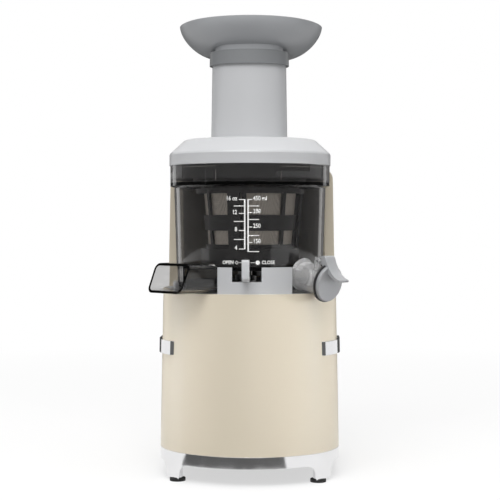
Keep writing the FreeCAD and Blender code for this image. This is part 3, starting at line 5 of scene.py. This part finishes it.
import bmesh
import bpy
from mathutils import Matrix, Vector
from mathutils.bvhtree import BVHTree


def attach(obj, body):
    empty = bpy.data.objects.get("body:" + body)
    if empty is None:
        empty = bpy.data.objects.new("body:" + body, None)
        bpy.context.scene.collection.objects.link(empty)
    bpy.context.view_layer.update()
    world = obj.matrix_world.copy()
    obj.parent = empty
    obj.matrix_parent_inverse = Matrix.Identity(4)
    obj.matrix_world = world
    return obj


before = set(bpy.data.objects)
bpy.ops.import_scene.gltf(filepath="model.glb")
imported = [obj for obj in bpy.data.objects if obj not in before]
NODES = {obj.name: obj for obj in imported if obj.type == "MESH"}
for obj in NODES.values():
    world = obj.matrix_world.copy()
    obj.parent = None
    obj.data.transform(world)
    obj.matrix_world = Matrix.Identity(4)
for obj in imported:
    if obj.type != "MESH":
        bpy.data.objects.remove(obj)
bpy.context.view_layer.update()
MM = 0.001

# Camera
AXIS_Y = -18 * MM            # the bowl's own axis, about which the photograph turns the juicer
EYE_DISTANCE = 1.142
EYE_HEIGHT = 0.2325
EYE_TURN = math.radians(2.5)     # the camera stands this far to the right of the front
EYE_DIP = math.radians(1.512)    # and looks down by this
LENS = 90.0
SENSOR = 36.0
CLIP_NEAR = 0.05
CLIP_FAR = 60.0


def make_camera():
    """The photograph's view: almost level with the bowl and a little to its right."""
    data = bpy.data.cameras.new("photo_camera")
    data.lens = LENS
    data.sensor_width = SENSOR
    data.clip_start = CLIP_NEAR
    data.clip_end = CLIP_FAR
    camera = bpy.data.objects.new("photo_camera", data)
    bpy.context.scene.collection.objects.link(camera)
    camera.location = (
        EYE_DISTANCE * math.sin(EYE_TURN),
        AXIS_Y - EYE_DISTANCE * math.cos(EYE_TURN),
        EYE_HEIGHT,
    )
    camera.rotation_euler = (math.pi / 2 - EYE_DIP, 0, EYE_TURN)
    bpy.context.scene.camera = camera


# Light and floor
WHITE = (1, 1, 1, 1)
SKY_LOW = 0.42           # the world's light at the horizon
SKY_HIGH = 0.75          # and overhead
SKY_TOP = 0.9            # the upward share of a direction that counts as overhead
FLOOR_REACH = 6.0
FLOOR_BOUNCE = 0.34      # the floor's grey for the light that it throws back
FLOOR_SEEN = 0.9         # and where it is looked at
GLOW_NEAR = 0.15         # the seen floor turns white between these distances
GLOW_FAR = 1.1
GLOW_LOW = 0.6           # the share of white at the near one


def place(made, name, location=(0, 0, 0), target=None):
    """An object for this data, turned to face the target if one is given."""
    o = bpy.data.objects.new(name, made)
    bpy.context.scene.collection.objects.link(o)
    o.location = location
    if target is not None:
        o.rotation_euler = (Vector(target) - Vector(location)).to_track_quat("-Z", "Y").to_euler()
    return o


def soft_box(name, location, target, width, height, power, spread=180):
    """A rectangular light; the spread, in degrees, narrows its beam."""
    light = bpy.data.lights.new(name, "AREA")
    light.spread = math.radians(spread)
    light.shape = "RECTANGLE"
    light.size = width
    light.size_y = height
    light.energy = power
    return place(light, name, location, target)


def unseen(light):
    """A light that neither gloss nor the clear pieces show."""
    light.visible_glossy = False
    light.visible_transmission = False


def seen_directly(tree):
    """1 for the rays that show a background: those from the camera, off gloss and through glass."""
    path = tree.nodes.new("ShaderNodeLightPath")
    total = path.outputs["Is Camera Ray"]
    for other in ("Is Glossy Ray", "Is Transmission Ray"):
        more = tree.nodes.new("ShaderNodeMath")
        more.operation = "MAXIMUM"
        tree.links.new(total, more.inputs[0])
        tree.links.new(path.outputs[other], more.inputs[1])
        total = more.outputs[0]
    return total


def make_world():
    """A white surround to look at, and a dimmer one to be lit by, brightest overhead."""
    world = bpy.data.worlds.new("studio")
    bpy.context.scene.world = world
    world.use_nodes = True
    tree = world.node_tree
    background = tree.nodes["Background"]
    background.inputs["Color"].default_value = WHITE
    direction = tree.nodes.new("ShaderNodeTexCoord")
    split = tree.nodes.new("ShaderNodeSeparateXYZ")
    tree.links.new(direction.outputs["Generated"], split.inputs[0])
    lit = tree.nodes.new("ShaderNodeMapRange")
    lit.inputs["From Max"].default_value = SKY_TOP
    lit.inputs["To Min"].default_value = SKY_LOW
    lit.inputs["To Max"].default_value = SKY_HIGH
    tree.links.new(split.outputs["Z"], lit.inputs["Value"])
    choice = tree.nodes.new("ShaderNodeMix")
    choice.inputs["B"].default_value = 1.0
    tree.links.new(seen_directly(tree), choice.inputs["Factor"])
    tree.links.new(lit.outputs["Result"], choice.inputs["A"])
    tree.links.new(choice.outputs["Result"], background.inputs["Strength"])


def make_floor():
    """A matt floor that fades to white away from the juicer where it is looked at."""
    mesh = bpy.data.meshes.new("floor")
    corners = [(x * FLOOR_REACH, y * FLOOR_REACH, 0) for x, y in ((-1, -1), (1, -1), (1, 1), (-1, 1))]
    mesh.from_pydata(corners, [], [(0, 1, 2, 3)])
    floor = place(mesh, "floor")
    paint = bpy.data.materials.new("floor_paint")
    paint.use_nodes = True
    tree = paint.node_tree
    matt = tree.nodes["Principled BSDF"]
    matt.inputs["Roughness"].default_value = 0.9
    matt.inputs["Specular IOR Level"].default_value = 0.1
    seen = seen_directly(tree)
    shade = tree.nodes.new("ShaderNodeMapRange")
    shade.inputs["To Min"].default_value = FLOOR_BOUNCE
    shade.inputs["To Max"].default_value = FLOOR_SEEN
    tree.links.new(seen, shade.inputs["Value"])
    tree.links.new(shade.outputs["Result"], matt.inputs["Base Color"])
    glow = tree.nodes.new("ShaderNodeEmission")
    glow.inputs["Color"].default_value = WHITE
    glow.inputs["Strength"].default_value = 1.0
    where = tree.nodes.new("ShaderNodeTexCoord")
    away = tree.nodes.new("ShaderNodeVectorMath")
    away.operation = "LENGTH"
    tree.links.new(where.outputs["Object"], away.inputs[0])
    fade = tree.nodes.new("ShaderNodeMapRange")
    fade.inputs["From Min"].default_value = GLOW_NEAR
    fade.inputs["From Max"].default_value = GLOW_FAR
    fade.inputs["To Min"].default_value = GLOW_LOW
    tree.links.new(away.outputs["Value"], fade.inputs["Value"])
    share = tree.nodes.new("ShaderNodeMath")
    share.operation = "MULTIPLY"
    tree.links.new(seen, share.inputs[0])
    tree.links.new(fade.outputs["Result"], share.inputs[1])
    mix = tree.nodes.new("ShaderNodeMixShader")
    tree.links.new(share.outputs[0], mix.inputs["Fac"])
    tree.links.new(matt.outputs[0], mix.inputs[1])
    tree.links.new(glow.outputs[0], mix.inputs[2])
    tree.links.new(mix.outputs[0], tree.nodes["Material Output"].inputs["Surface"])
    floor.data.materials.append(paint)


def round_about(turn, distance, z):
    """A point this far from the bowl's axis; the turn is from the front, positive to the right."""
    a = math.radians(turn)
    return (distance * math.sin(a), AXIS_Y - distance * math.cos(a), z)


FLAG_STEPS = 16
FLAG_TOP = 0.9
FLAG_LOW = 0.002             # just over the floor
FLAG_FAR = 2.2
SIDE_FLAG = 1.2
SIDE_FLAG_LOW = 0.13
FLAG_GREY = 0.10


def make_flag(name, turn_from, turn_to, profile):
    """A dark cloth round one side of the studio, which only gloss shows.

    Its profile is a list of distances and heights.
    """
    points, faces = [], []
    for i in range(FLAG_STEPS + 1):
        turn = turn_from + (turn_to - turn_from) * i / FLAG_STEPS
        points += [round_about(turn, distance, z) for distance, z in profile]
    size = len(profile)
    for i in range(FLAG_STEPS):
        for k in range(size - 1):
            a, b = i * size + k, (i + 1) * size + k
            faces.append((a, a + 1, b + 1, b))
    mesh = bpy.data.meshes.new(name)
    mesh.from_pydata(points, [], faces)
    flag = place(mesh, name)
    mesh.materials.append(flag_cloth())
    for ray in ("camera", "diffuse", "transmission", "volume_scatter", "shadow"):
        setattr(flag, "visible_" + ray, False)


def flag_cloth():
    """The one dead matt cloth that all the flags share."""
    cloth = bpy.data.materials.get("flag_cloth")
    if cloth is None:
        cloth = bpy.data.materials.new("flag_cloth")
        cloth.use_nodes = True
        matt = cloth.node_tree.nodes["Principled BSDF"]
        matt.inputs["Base Color"].default_value = (FLAG_GREY, FLAG_GREY, FLAG_GREY, 1)
        matt.inputs["Roughness"].default_value = 1.0
        matt.inputs["Specular IOR Level"].default_value = 0.0
    return cloth


SIDE_HEIGHT = 0.13
SIDE_DISTANCE = 1.1
SIDE_SPREAD = 16             # degrees; a narrow beam, so little power gives much light
LOW_AIM = 0.12
HIGH_AIM = 0.2


def make_lights():
    """Two narrow side lights, a low and a high one in front, one overhead, and dark cloths between."""
    for name, turn in (("left_box", -95), ("right_box", 80)):
        start = round_about(turn, SIDE_DISTANCE, SIDE_HEIGHT)
        target = (0, AXIS_Y, SIDE_HEIGHT)
        light = soft_box(name, start, target, width=0.6, height=0.24, power=0.22, spread=SIDE_SPREAD)
        unseen(light)
    low, middle = (0, AXIS_Y, LOW_AIM), (0, AXIS_Y, HIGH_AIM)
    unseen(soft_box("low_box", (0.2, -1.6, 0.28), low, width=1.3, height=0.4, power=2.6))
    soft_box("front_box", (-0.25, -1.25, 1.6), middle, width=1.5, height=0.9, power=18.5)
    soft_box("top_box", (0.15, -0.35, 1.6), middle, width=1.2, height=1.2, power=6)
    upright = [(SIDE_FLAG, SIDE_FLAG_LOW), (SIDE_FLAG, FLAG_TOP)]
    for name, turn_from, turn_to, near in (
        ("front_flag", -62, 34, 0.14),
        ("left_flag", -128, -62, None),
        ("right_flag", 34, 130, None),
        ("back_flag", 144, 216, 0.16),
    ):
        lying = [(near, FLAG_LOW), (FLAG_FAR, FLAG_LOW), (FLAG_FAR, FLAG_TOP)]
        make_flag(name, turn_from, turn_to, upright if near is None else lying)


# Materials
class Shader:
    """One material: a Principled shader with its constants on its own sockets, plus its detail nodes."""

    def __init__(self, name, colour, roughness, metallic=0.0, **constants):
        self.material = bpy.data.materials.new(name)
        self.material.use_nodes = True
        self.tree = self.material.node_tree
        self.main = self.tree.nodes["Principled BSDF"]
        self.colour = colour
        self.set("Base Color", (*colour, 1))
        self.set("Roughness", roughness)
        self.set("Metallic", metallic)
        for socket, value in constants.items():
            self.set(socket.replace("_", " "), value)
        self.where = self.add("ShaderNodeTexCoord").outputs["Object"]
        self.normal = None

    def set(self, socket, value):
        self.main.inputs[socket].default_value = value

    def add(self, kind, **settings):
        node = self.tree.nodes.new(kind)
        for key, value in settings.items():
            if hasattr(node, key):
                setattr(node, key, value)
            else:
                node.inputs[key.replace("_", " ")].default_value = value
        return node

    def link(self, out, into):
        self.tree.links.new(out, into)

    def stretched(self, scale):
        """The row frame's coordinates, scaled by another factor along each axis."""
        mapping = self.add("ShaderNodeMapping")
        mapping.inputs["Scale"].default_value = scale
        self.link(self.where, mapping.inputs["Vector"])
        return mapping.outputs["Vector"]

    def noise(self, scale, detail=3.0, rough=0.5, stretch=(1, 1, 1)):
        node = self.add("ShaderNodeTexNoise", Scale=scale, Detail=detail, Roughness=rough)
        self.link(self.stretched(stretch), node.inputs["Vector"])
        return node.outputs["Fac"]

    def ranged(self, value, low, high, start=0.3, end=0.7):
        node = self.add("ShaderNodeMapRange")
        for socket, number in zip(("From Min", "From Max", "To Min", "To Max"), (start, end, low, high)):
            node.inputs[socket].default_value = number
        self.link(value, node.inputs["Value"])
        return node.outputs["Result"]

    def mottled(self, share, scale, detail=2.0, stretch=(1, 1, 1)):
        """Base colour that drifts by this share either way."""
        mix = self.add("ShaderNodeMix", data_type="RGBA")
        for socket, factor in ((6, 1 - share), (7, 1 + share)):
            mix.inputs[socket].default_value = (*(min(1.0, c * factor) for c in self.colour), 1)
        self.link(self.ranged(self.noise(scale, detail, stretch=stretch), 0, 1), mix.inputs[0])
        self.link(mix.outputs[2], self.main.inputs["Base Color"])
        return self

    def worn(self, low, high, scale, stretch=(1, 1, 1)):
        """Roughness that drifts between two values."""
        drift = self.noise(scale, 4.0, stretch=stretch)
        self.link(self.ranged(drift, low, high), self.main.inputs["Roughness"])
        return self

    def bumped(self, height, depth, strength=1.0):
        """Surface relief from a height value, in metres."""
        bump = self.add("ShaderNodeBump", Strength=strength, Distance=depth)
        self.link(height, bump.inputs["Height"])
        if self.normal is not None:
            self.link(self.normal, bump.inputs["Normal"])
        self.normal = bump.outputs["Normal"]
        self.link(self.normal, self.main.inputs["Normal"])
        return self

    def soft_edges(self, radius):
        """Edges that catch the light as moulded ones do."""
        self.normal = self.add("ShaderNodeBevel", samples=4, Radius=radius).outputs["Normal"]
        self.link(self.normal, self.main.inputs["Normal"])
        return self

    def grained(self, scale, depth, detail=2.0, stretch=(1, 1, 1)):
        return self.bumped(self.noise(scale, detail, stretch=stretch), depth)

    def painted_shade_in_box(self, colour, low, high):
        """Painted shade: another, darker base colour inside a box of the row frame.

        It paints into the colour the shadow that falls on the part of a moulding that lies there.
        """
        split = self.add("ShaderNodeSeparateXYZ")
        self.link(self.where, split.inputs[0])
        inside = None
        for axis, start, end in zip("XYZ", low, high):
            for operation, limit in (("GREATER_THAN", start), ("LESS_THAN", end)):
                test = self.add("ShaderNodeMath", operation=operation)
                self.link(split.outputs[axis], test.inputs[0])
                test.inputs[1].default_value = limit
                if inside is None:
                    inside = test.outputs[0]
                    continue
                both = self.add("ShaderNodeMath", operation="MULTIPLY")
                self.link(inside, both.inputs[0])
                self.link(test.outputs[0], both.inputs[1])
                inside = both.outputs[0]
        socket = self.main.inputs["Base Color"]
        before = socket.links[0].from_socket
        mix = self.add("ShaderNodeMix", data_type="RGBA")
        self.link(inside, mix.inputs[0])
        self.link(before, mix.inputs[6])
        mix.inputs[7].default_value = (*colour, 1)
        self.link(mix.outputs[2], socket)
        return self

    def absorbing(self, colour, density):
        """Tint that deepens with the thickness of the wall."""
        inside = self.add("ShaderNodeVolumeAbsorption", Density=density)
        inside.inputs["Color"].default_value = (*colour, 1)
        self.link(inside.outputs["Volume"], self.tree.nodes["Material Output"].inputs["Volume"])
        return self


def rgb(red, green, blue):
    """A colour as it is written on a screen, 0 to 255, as the linear values of a shader."""
    def linear(value):
        v = value / 255
        return v / 12.92 if v <= 0.04045 else ((v + 0.055) / 1.055) ** 2.4
    return tuple(linear(v) for v in (red, green, blue))


# Boxes of the row frame where a moulding gets painted shade, a darker base colour for the shadow that
# falls on it there: low and high corner
LID_SPIGOT_SHADE = ((-0.1, -0.1, 0.25), (0.1, 0.1, 0.2785))
JUICE_CAP_SHADE = ((0.056, -0.12, 0.15), (0.1, -0.05, 0.205))
LEVER_ARM_SHADE = ((-0.016, -0.085, 0.1665), (0.016, -0.03, 0.1885))
TRAY_COLLAR_SHADE = ((-0.1, -0.1, 0.36), (0.1, 0.1, 0.3805))


def make_shaders():
    """The finish of each material slot of the record."""
    made = {}

    made["cream_paint"] = (
        Shader("cream_paint", rgb(214, 204, 184), roughness=0.34, Coat_Weight=0.2, Coat_Roughness=0.25)
        .soft_edges(radius=0.0004)
        .mottled(share=0.012, scale=9)
        .worn(low=0.30, high=0.38, scale=14)
        .grained(scale=420, depth=0.000004)
    )
    made["chrome"] = (
        Shader("chrome", (0.80, 0.80, 0.81), roughness=0.1, metallic=1.0)
        .soft_edges(radius=0.0004)
        .mottled(share=0.02, scale=40)
        .worn(low=0.07, high=0.15, scale=60)
        .grained(scale=900, depth=0.000002)
    )
    made["grey_plastic"] = (
        Shader("grey_plastic", rgb(190, 191, 193), roughness=0.36, Coat_Weight=0.1, Coat_Roughness=0.2)
        .soft_edges(radius=0.0004)
        .mottled(share=0.012, scale=14)
        # Painted shade: the lid's spigot inside the collar, the juice cap and the lever's inner end are
        # darker where shadow falls on them.
        .painted_shade_in_box(rgb(60, 60, 61), *LID_SPIGOT_SHADE)
        .painted_shade_in_box(rgb(152, 153, 155), *JUICE_CAP_SHADE)
        .painted_shade_in_box(rgb(28, 28, 29), *LEVER_ARM_SHADE)
        .worn(low=0.30, high=0.40, scale=25)
        .grained(scale=1500, depth=0.000006)
    )
    # Painted shade in part: the tray's grey is kept darker than the lid's, for the shade that lies under
    # the tray.
    made["tray_plastic"] = (
        Shader("tray_plastic", rgb(172, 174, 177), roughness=0.36, Coat_Weight=0.1, Coat_Roughness=0.2)
        .soft_edges(radius=0.0004)
        .mottled(share=0.012, scale=14)
        # Painted shade: the tray's collar is darker for the shadow under the tray.
        .painted_shade_in_box(rgb(126, 128, 130), *TRAY_COLLAR_SHADE)
        .worn(low=0.32, high=0.42, scale=25)
        .grained(scale=1500, depth=0.000006)
    )
    made["smoke_clear"] = (
        Shader("smoke_clear", (0.97, 0.97, 0.97), roughness=0.02, Transmission_Weight=1.0, IOR=1.49)
        .mottled(share=0.01, scale=30)
        .worn(low=0.012, high=0.04, scale=30)
        .grained(scale=160, depth=0.000002)
        .absorbing((0.20, 0.185, 0.18), density=270)
    )
    made["tinted_clear"] = (
        Shader("tinted_clear", (0.75, 0.75, 0.75), roughness=0.03, Transmission_Weight=0.72, IOR=1.3)
        .mottled(share=0.01, scale=30)
        .worn(low=0.012, high=0.04, scale=30)
        .grained(scale=160, depth=0.000002)
        .absorbing((0.45, 0.45, 0.45), density=15)
    )
    made["black_seal"] = (
        Shader("black_seal", rgb(22, 22, 23), roughness=0.55)
        .mottled(share=0.08, scale=60)
        .worn(low=0.45, high=0.65, scale=80)
        .grained(scale=1800, depth=0.00001)
    )
    made["grey_seal"] = (
        Shader("grey_seal", rgb(120, 120, 122), roughness=0.6)
        .mottled(share=0.05, scale=60)
        .worn(low=0.5, high=0.7, scale=80)
        .grained(scale=1800, depth=0.00001)
    )
    made["foot_rubber"] = (
        Shader("foot_rubber", rgb(30, 30, 30), roughness=0.75)
        .mottled(share=0.1, scale=70)
        .worn(low=0.65, high=0.85, scale=90)
        .grained(scale=1600, depth=0.00003)
    )
    made["dark_plastic"] = (
        Shader("dark_plastic", rgb(38, 37, 38), roughness=0.35)
        .soft_edges(radius=0.0003)
        .mottled(share=0.05, scale=30)
        .worn(low=0.3, high=0.45, scale=40)
        .grained(scale=1300, depth=0.000006)
    )
    made["auger_plastic"] = (
        Shader("auger_plastic", rgb(46, 45, 46), roughness=0.3)
        .soft_edges(radius=0.0003)
        .mottled(share=0.05, scale=30)
        .worn(low=0.25, high=0.4, scale=40)
        .grained(scale=1300, depth=0.000006)
    )
    made["black_plastic"] = (
        Shader("black_plastic", rgb(28, 28, 29), roughness=0.42)
        .soft_edges(radius=0.0003)
        .mottled(share=0.06, scale=30)
        .worn(low=0.36, high=0.52, scale=40)
        .grained(scale=1400, depth=0.00002)
    )
    made["gear_plastic"] = (
        Shader("gear_plastic", rgb(228, 224, 210), roughness=0.4)
        .soft_edges(radius=0.0002)
        .mottled(share=0.03, scale=40)
        .worn(low=0.35, high=0.5, scale=40)
        .grained(scale=1500, depth=0.000008)
    )
    made["steel"] = (
        Shader("steel", (0.58, 0.58, 0.59), roughness=0.28, metallic=1.0)
        .mottled(share=0.06, scale=80)
        .worn(low=0.22, high=0.36, scale=120, stretch=(1, 1, 12))
        .grained(scale=700, depth=0.000008, stretch=(1, 1, 14))
    )
    made["copper"] = (
        Shader("copper", (0.68, 0.34, 0.18), roughness=0.3, metallic=1.0)
        .mottled(share=0.12, scale=160)
        .worn(low=0.25, high=0.4, scale=160)
        .grained(scale=500, depth=0.00012, stretch=(1, 1, 0.15))
    )
    made["cast_case"] = (
        Shader("cast_case", (0.55, 0.55, 0.56), roughness=0.48, metallic=0.9)
        .mottled(share=0.05, scale=60)
        .worn(low=0.42, high=0.58, scale=60)
        .grained(scale=900, depth=0.00005)
    )
    made["board"] = (
        Shader("board", rgb(26, 84, 48), roughness=0.35, Coat_Weight=0.4, Coat_Roughness=0.2)
        .mottled(share=0.15, scale=200)
        .worn(low=0.3, high=0.4, scale=50)
        .grained(scale=900, depth=0.00001)
    )
    made["mesh_steel"] = mesh_shader()
    made["print_ink"] = (
        Shader("print_ink", rgb(240, 240, 238), roughness=0.5)
        .mottled(share=0.02, scale=300)
        .worn(low=0.45, high=0.6, scale=200)
        .grained(scale=2200, depth=0.000004)
    )
    # Painted highlight: light grey lines along the edges of the bayonet's channels on the bowl's collar.
    made["bayonet_edge_highlight"] = (
        Shader("bayonet_edge_highlight", rgb(104, 102, 98), roughness=0.5)
        .mottled(share=0.03, scale=300)
        .worn(low=0.45, high=0.6, scale=200)
        .grained(scale=2200, depth=0.000004)
    )
    return made


def mesh_shader():
    """Fine perforated sheet: rows of round holes in steel."""
    made = Shader("mesh_steel", rgb(224, 216, 204), roughness=0.42, metallic=0.35)
    cells = made.add("ShaderNodeTexVoronoi", feature="F1", Scale=1100, Randomness=0.15)
    made.link(made.where, cells.inputs["Vector"])
    holes = made.ranged(cells.outputs["Distance"], low=0.0, high=1.0, start=0.18, end=0.36)
    mix = made.add("ShaderNodeMix", data_type="RGBA")
    mix.inputs[6].default_value = (*rgb(96, 90, 84), 1)
    mix.inputs[7].default_value = (*made.colour, 1)
    made.link(holes, mix.inputs[0])
    made.link(mix.outputs[2], made.main.inputs["Base Color"])
    made.worn(low=0.35, high=0.5, scale=90)
    return made.bumped(holes, depth=0.0001, strength=0.6)


SLOT_NODES = {
    "cream_paint": ["body_housing", "rear_column"],
    "chrome": ["base_skirt", "side_badges"],
    "grey_plastic": ["bowl_seat", "pulp_lever", "juice_cap", "juicer_lid"],
    "tray_plastic": ["hopper_tray"],
    "smoke_clear": ["juice_bowl", "pulp_duct"],
    "tinted_clear": ["juice_spout"],
    "black_seal": ["cap_gasket", "shaft_seal"],
    "grey_seal": ["lid_seal", "bowl_seal"],
    "foot_rubber": ["foot_pads", "motor_cushion"],
    "dark_plastic": ["strainer_frame", "brush_frame", "brush_wipers", "brush_idler", "lid_bush"],
    "mesh_steel": ["strainer_mesh"],
    "auger_plastic": ["auger", "auger_gear"],
    "steel": [
        "cap_hinge_pin", "output_shaft", "motor_shaft", "motor_pinion", "gear_pin",
        "output_bearing", "motor_bearings", "motor_can", "motor_rotor", "motor_stator", "cover_screws",
    ],
    "copper": ["motor_winding"],
    "gear_plastic": ["compound_gear", "output_gear"],
    "black_plastic": [
        "bottom_cover", "floor_frame", "switch_bezel", "power_rocker", "cable_gland", "interlock_switch",
        "motor_end_cap", "cooling_fan", "lever_pivot_pin",
    ],
    "cast_case": ["gearbox_case", "gearbox_cover"],
    "board": ["control_board"],
}
NODE_SLOTS = {node: slot for slot, group in SLOT_NODES.items() for node in group}


def dress_nodes(shaders):
    """Every CAD node takes the finish of its slot in the record."""
    for name, o in NODES.items():
        o.data.materials.clear()
        o.data.materials.append(shaders[NODE_SLOTS[name]].material)


# Print on the bowl, and painted highlights along the bayonet's edges
class Front:
    """The front of a CAD node, found by looking at it along +Y."""

    def __init__(self, node):
        o = NODES[node]
        mesh = o.data
        points = [v.co.copy() for v in mesh.vertices]
        self.tree = BVHTree.FromPolygons(points, [tuple(p.vertices) for p in mesh.polygons])

    def depth(self, x, z):
        hit = self.tree.ray_cast(Vector((x, -1.0, z)), Vector((0, 1, 0)))[0]
        if hit is None:
            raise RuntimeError(f"nothing to print on at x {x:.4f}, z {z:.4f}")
        return hit.y


INK_AND_HIGHLIGHT_LIFT = 0.02 * MM
INK_AND_HIGHLIGHT_THICK = 0.08 * MM
BAR_STEP = 1.0 * MM
LETTER_SHARE = 0.72          # a capital's share of the type size
LETTER_WEIGHT = 0.13 * MM    # by which the letters are thickened


def laid_on(front, shapes, name, body, shader):
    """Flat shapes, as a bmesh in x and z, laid on the front as a thin layer: ink for print, painted
    highlight for the bayonet's edges.
    """
    faces = list(shapes.faces)
    for v in shapes.verts:
        v.co.y = front.depth(v.co.x, v.co.z) - INK_AND_HIGHLIGHT_LIFT
    made = bmesh.ops.extrude_face_region(shapes, geom=faces)
    for v in [g for g in made["geom"] if isinstance(g, bmesh.types.BMVert)]:
        v.co.y -= INK_AND_HIGHLIGHT_THICK
    bmesh.ops.recalc_face_normals(shapes, faces=shapes.faces)
    mesh = bpy.data.meshes.new(name)
    shapes.to_mesh(mesh)
    shapes.free()
    o = place(mesh, name)
    mesh.materials.append(shader.material)
    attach(o, body)


def bar(shapes, x0, x1, z0, z1):
    """A flat bar, cut into short lengths so that it can follow a curved wall."""
    count = max(1, math.ceil(abs(x1 - x0) / BAR_STEP))
    rows = []
    for i in range(count + 1):
        x = x0 + (x1 - x0) * i / count
        rows.append([shapes.verts.new((x, 0, z)) for z in (z0, z1)])
    for a, b in zip(rows, rows[1:]):
        shapes.faces.new((a[0], b[0], b[1], a[1]))


def words(shapes, text, x, z, height, align, squeeze):
    """Upright lettering whose line starts or ends at x, with its middle at z."""
    curve = bpy.data.curves.new("words", "FONT")
    curve.body = text
    curve.size = height / LETTER_SHARE
    curve.align_x = align
    curve.align_y = "CENTER"
    curve.resolution_u = 3
    curve.offset = LETTER_WEIGHT
    o = place(curve, "words")
    bpy.context.view_layer.update()
    mesh = bpy.data.meshes.new_from_object(o.evaluated_get(bpy.context.evaluated_depsgraph_get()))
    upright = Matrix.Rotation(math.pi / 2, 4, "X")
    mesh.transform(Matrix.Translation((x, 0, z)) @ Matrix.Diagonal((squeeze, 1, 1, 1)) @ upright)
    shapes.from_mesh(mesh)
    bpy.data.objects.remove(o)
    bpy.data.meshes.remove(mesh)


def ring(shapes, x, z, radius, sides):
    """The corners of a polygon round a point."""
    turns = (2 * math.pi * i / sides for i in range(sides))
    return [shapes.verts.new((x + radius * math.cos(a), 0, z + radius * math.sin(a))) for a in turns]


def disc(shapes, x, z, radius, sides=24, hole=0.0):
    """A flat disc, or a ring if it has a hole."""
    outer = ring(shapes, x, z, radius, sides)
    if not hole:
        shapes.faces.new(outer)
        return
    inner = ring(shapes, x, z, hole, sides)
    for i in range(sides):
        j = (i + 1) % sides
        shapes.faces.new((outer[i], outer[j], inner[j], inner[i]))


# The scale: heights over the floor and distances from the middle, in millimetres
LEFT_MAJORS = {247.5: "16 oz", 235.6: "12", 220.9: "8", 205.0: "4"}
LEFT_MINORS = (242.0, 228.7, 213.2)
RIGHT_MAJORS = {247.5: "450 ml", 236.4: "350", 223.9: "250", 210.6: "150"}
RIGHT_MINORS = (242.0, 230.4, 216.6, 202.8)
STEMS = ((-1.55, 204.8), (1.35, 202.6))      # each stem's middle and foot
STEM_TOP = 247.8
STEM_HALF = 0.62
MARK_HALF = 0.34
MARKS = (                                    # which heights have a mark, and its ends
    (LEFT_MAJORS, -6.6, -2.2),
    (LEFT_MINORS, -11.0, -2.2),
    (RIGHT_MAJORS, 2.0, 4.9),
    (RIGHT_MINORS, 2.0, 10.8),
)
NUMBER_HEIGHT = 3.8
NUMBER_LIFT = 0.9
NUMBER_SQUEEZE = 0.82


def print_scale(shaders):
    """The volume scale: two stems with their marks and numbers."""
    shapes = bmesh.new()
    stem = STEM_HALF * MM
    mark = MARK_HALF * MM
    for x, low in STEMS:
        bar(shapes, x * MM - stem, x * MM + stem, low * MM, STEM_TOP * MM)
    for heights, start, end in MARKS:
        for z in heights:
            bar(shapes, start * MM, end * MM, z * MM - mark, z * MM + mark)
    for numbers, x, align in ((LEFT_MAJORS, -8.1, "RIGHT"), (RIGHT_MAJORS, 5.6, "LEFT")):
        for z, text in numbers.items():
            middle = (z + NUMBER_LIFT) * MM
            words(shapes, text, x * MM, middle, NUMBER_HEIGHT * MM, align, NUMBER_SQUEEZE)
    ink_and_highlight = shaders["print_ink"]
    laid_on(Front("juice_bowl"), shapes, "bowl_scale_print", "bowl", ink_and_highlight)


ROW_HEIGHT = 193.2 * MM
ROW_LETTERS = 3.0 * MM
ROW_SQUEEZE = 0.9
ROW_LINE = 0.2 * MM


def print_lever_row(shaders):
    """The row over the pulp lever that says which way it opens and closes."""
    shapes = bmesh.new()
    words(shapes, "OPEN", -11.2 * MM, ROW_HEIGHT, ROW_LETTERS, "RIGHT", ROW_SQUEEZE)
    words(shapes, "CLOSE", 13.0 * MM, ROW_HEIGHT, ROW_LETTERS, "LEFT", ROW_SQUEEZE)
    disc(shapes, -8.6 * MM, ROW_HEIGHT, 1.7 * MM, sides=4, hole=1.15 * MM)
    disc(shapes, 9.6 * MM, ROW_HEIGHT, 1.9 * MM)
    for start, end in ((-6.5, -3.2), (3.4, 7.2)):
        bar(shapes, start * MM, end * MM, ROW_HEIGHT - ROW_LINE, ROW_HEIGHT + ROW_LINE)
    ink_and_highlight = shaders["print_ink"]
    laid_on(Front("juice_bowl"), shapes, "lever_row_print", "bowl", ink_and_highlight)


# The painted highlights along the bayonet's edges, as bars: left, right, low and high end, in
# millimetres
BAYONET_HIGHLIGHTS = (
    (-59.9, -26.4, 276.2, 276.6),
    (-26.8, -26.3, 264.0, 273.4),
    (29.5, 66.0, 276.0, 276.4),
    (29.4, 29.9, 264.6, 272.4),
)


def paint_bayonet_highlights(shaders):
    """Painted highlights: the lines that the edges of the lid's bayonet show on the bowl's collar."""
    shapes = bmesh.new()
    for ends in BAYONET_HIGHLIGHTS:
        bar(shapes, *(end * MM for end in ends))
    ink_and_highlight = shaders["bayonet_edge_highlight"]
    laid_on(Front("juice_bowl"), shapes, "bayonet_painted_highlights", "bowl", ink_and_highlight)


bpy.context.scene.view_settings.view_transform = "Standard"
make_camera()
make_world()
make_floor()
make_lights()
SHADERS = make_shaders()
dress_nodes(SHADERS)
print_scale(SHADERS)
print_lever_row(SHADERS)
paint_bayonet_highlights(SHADERS)
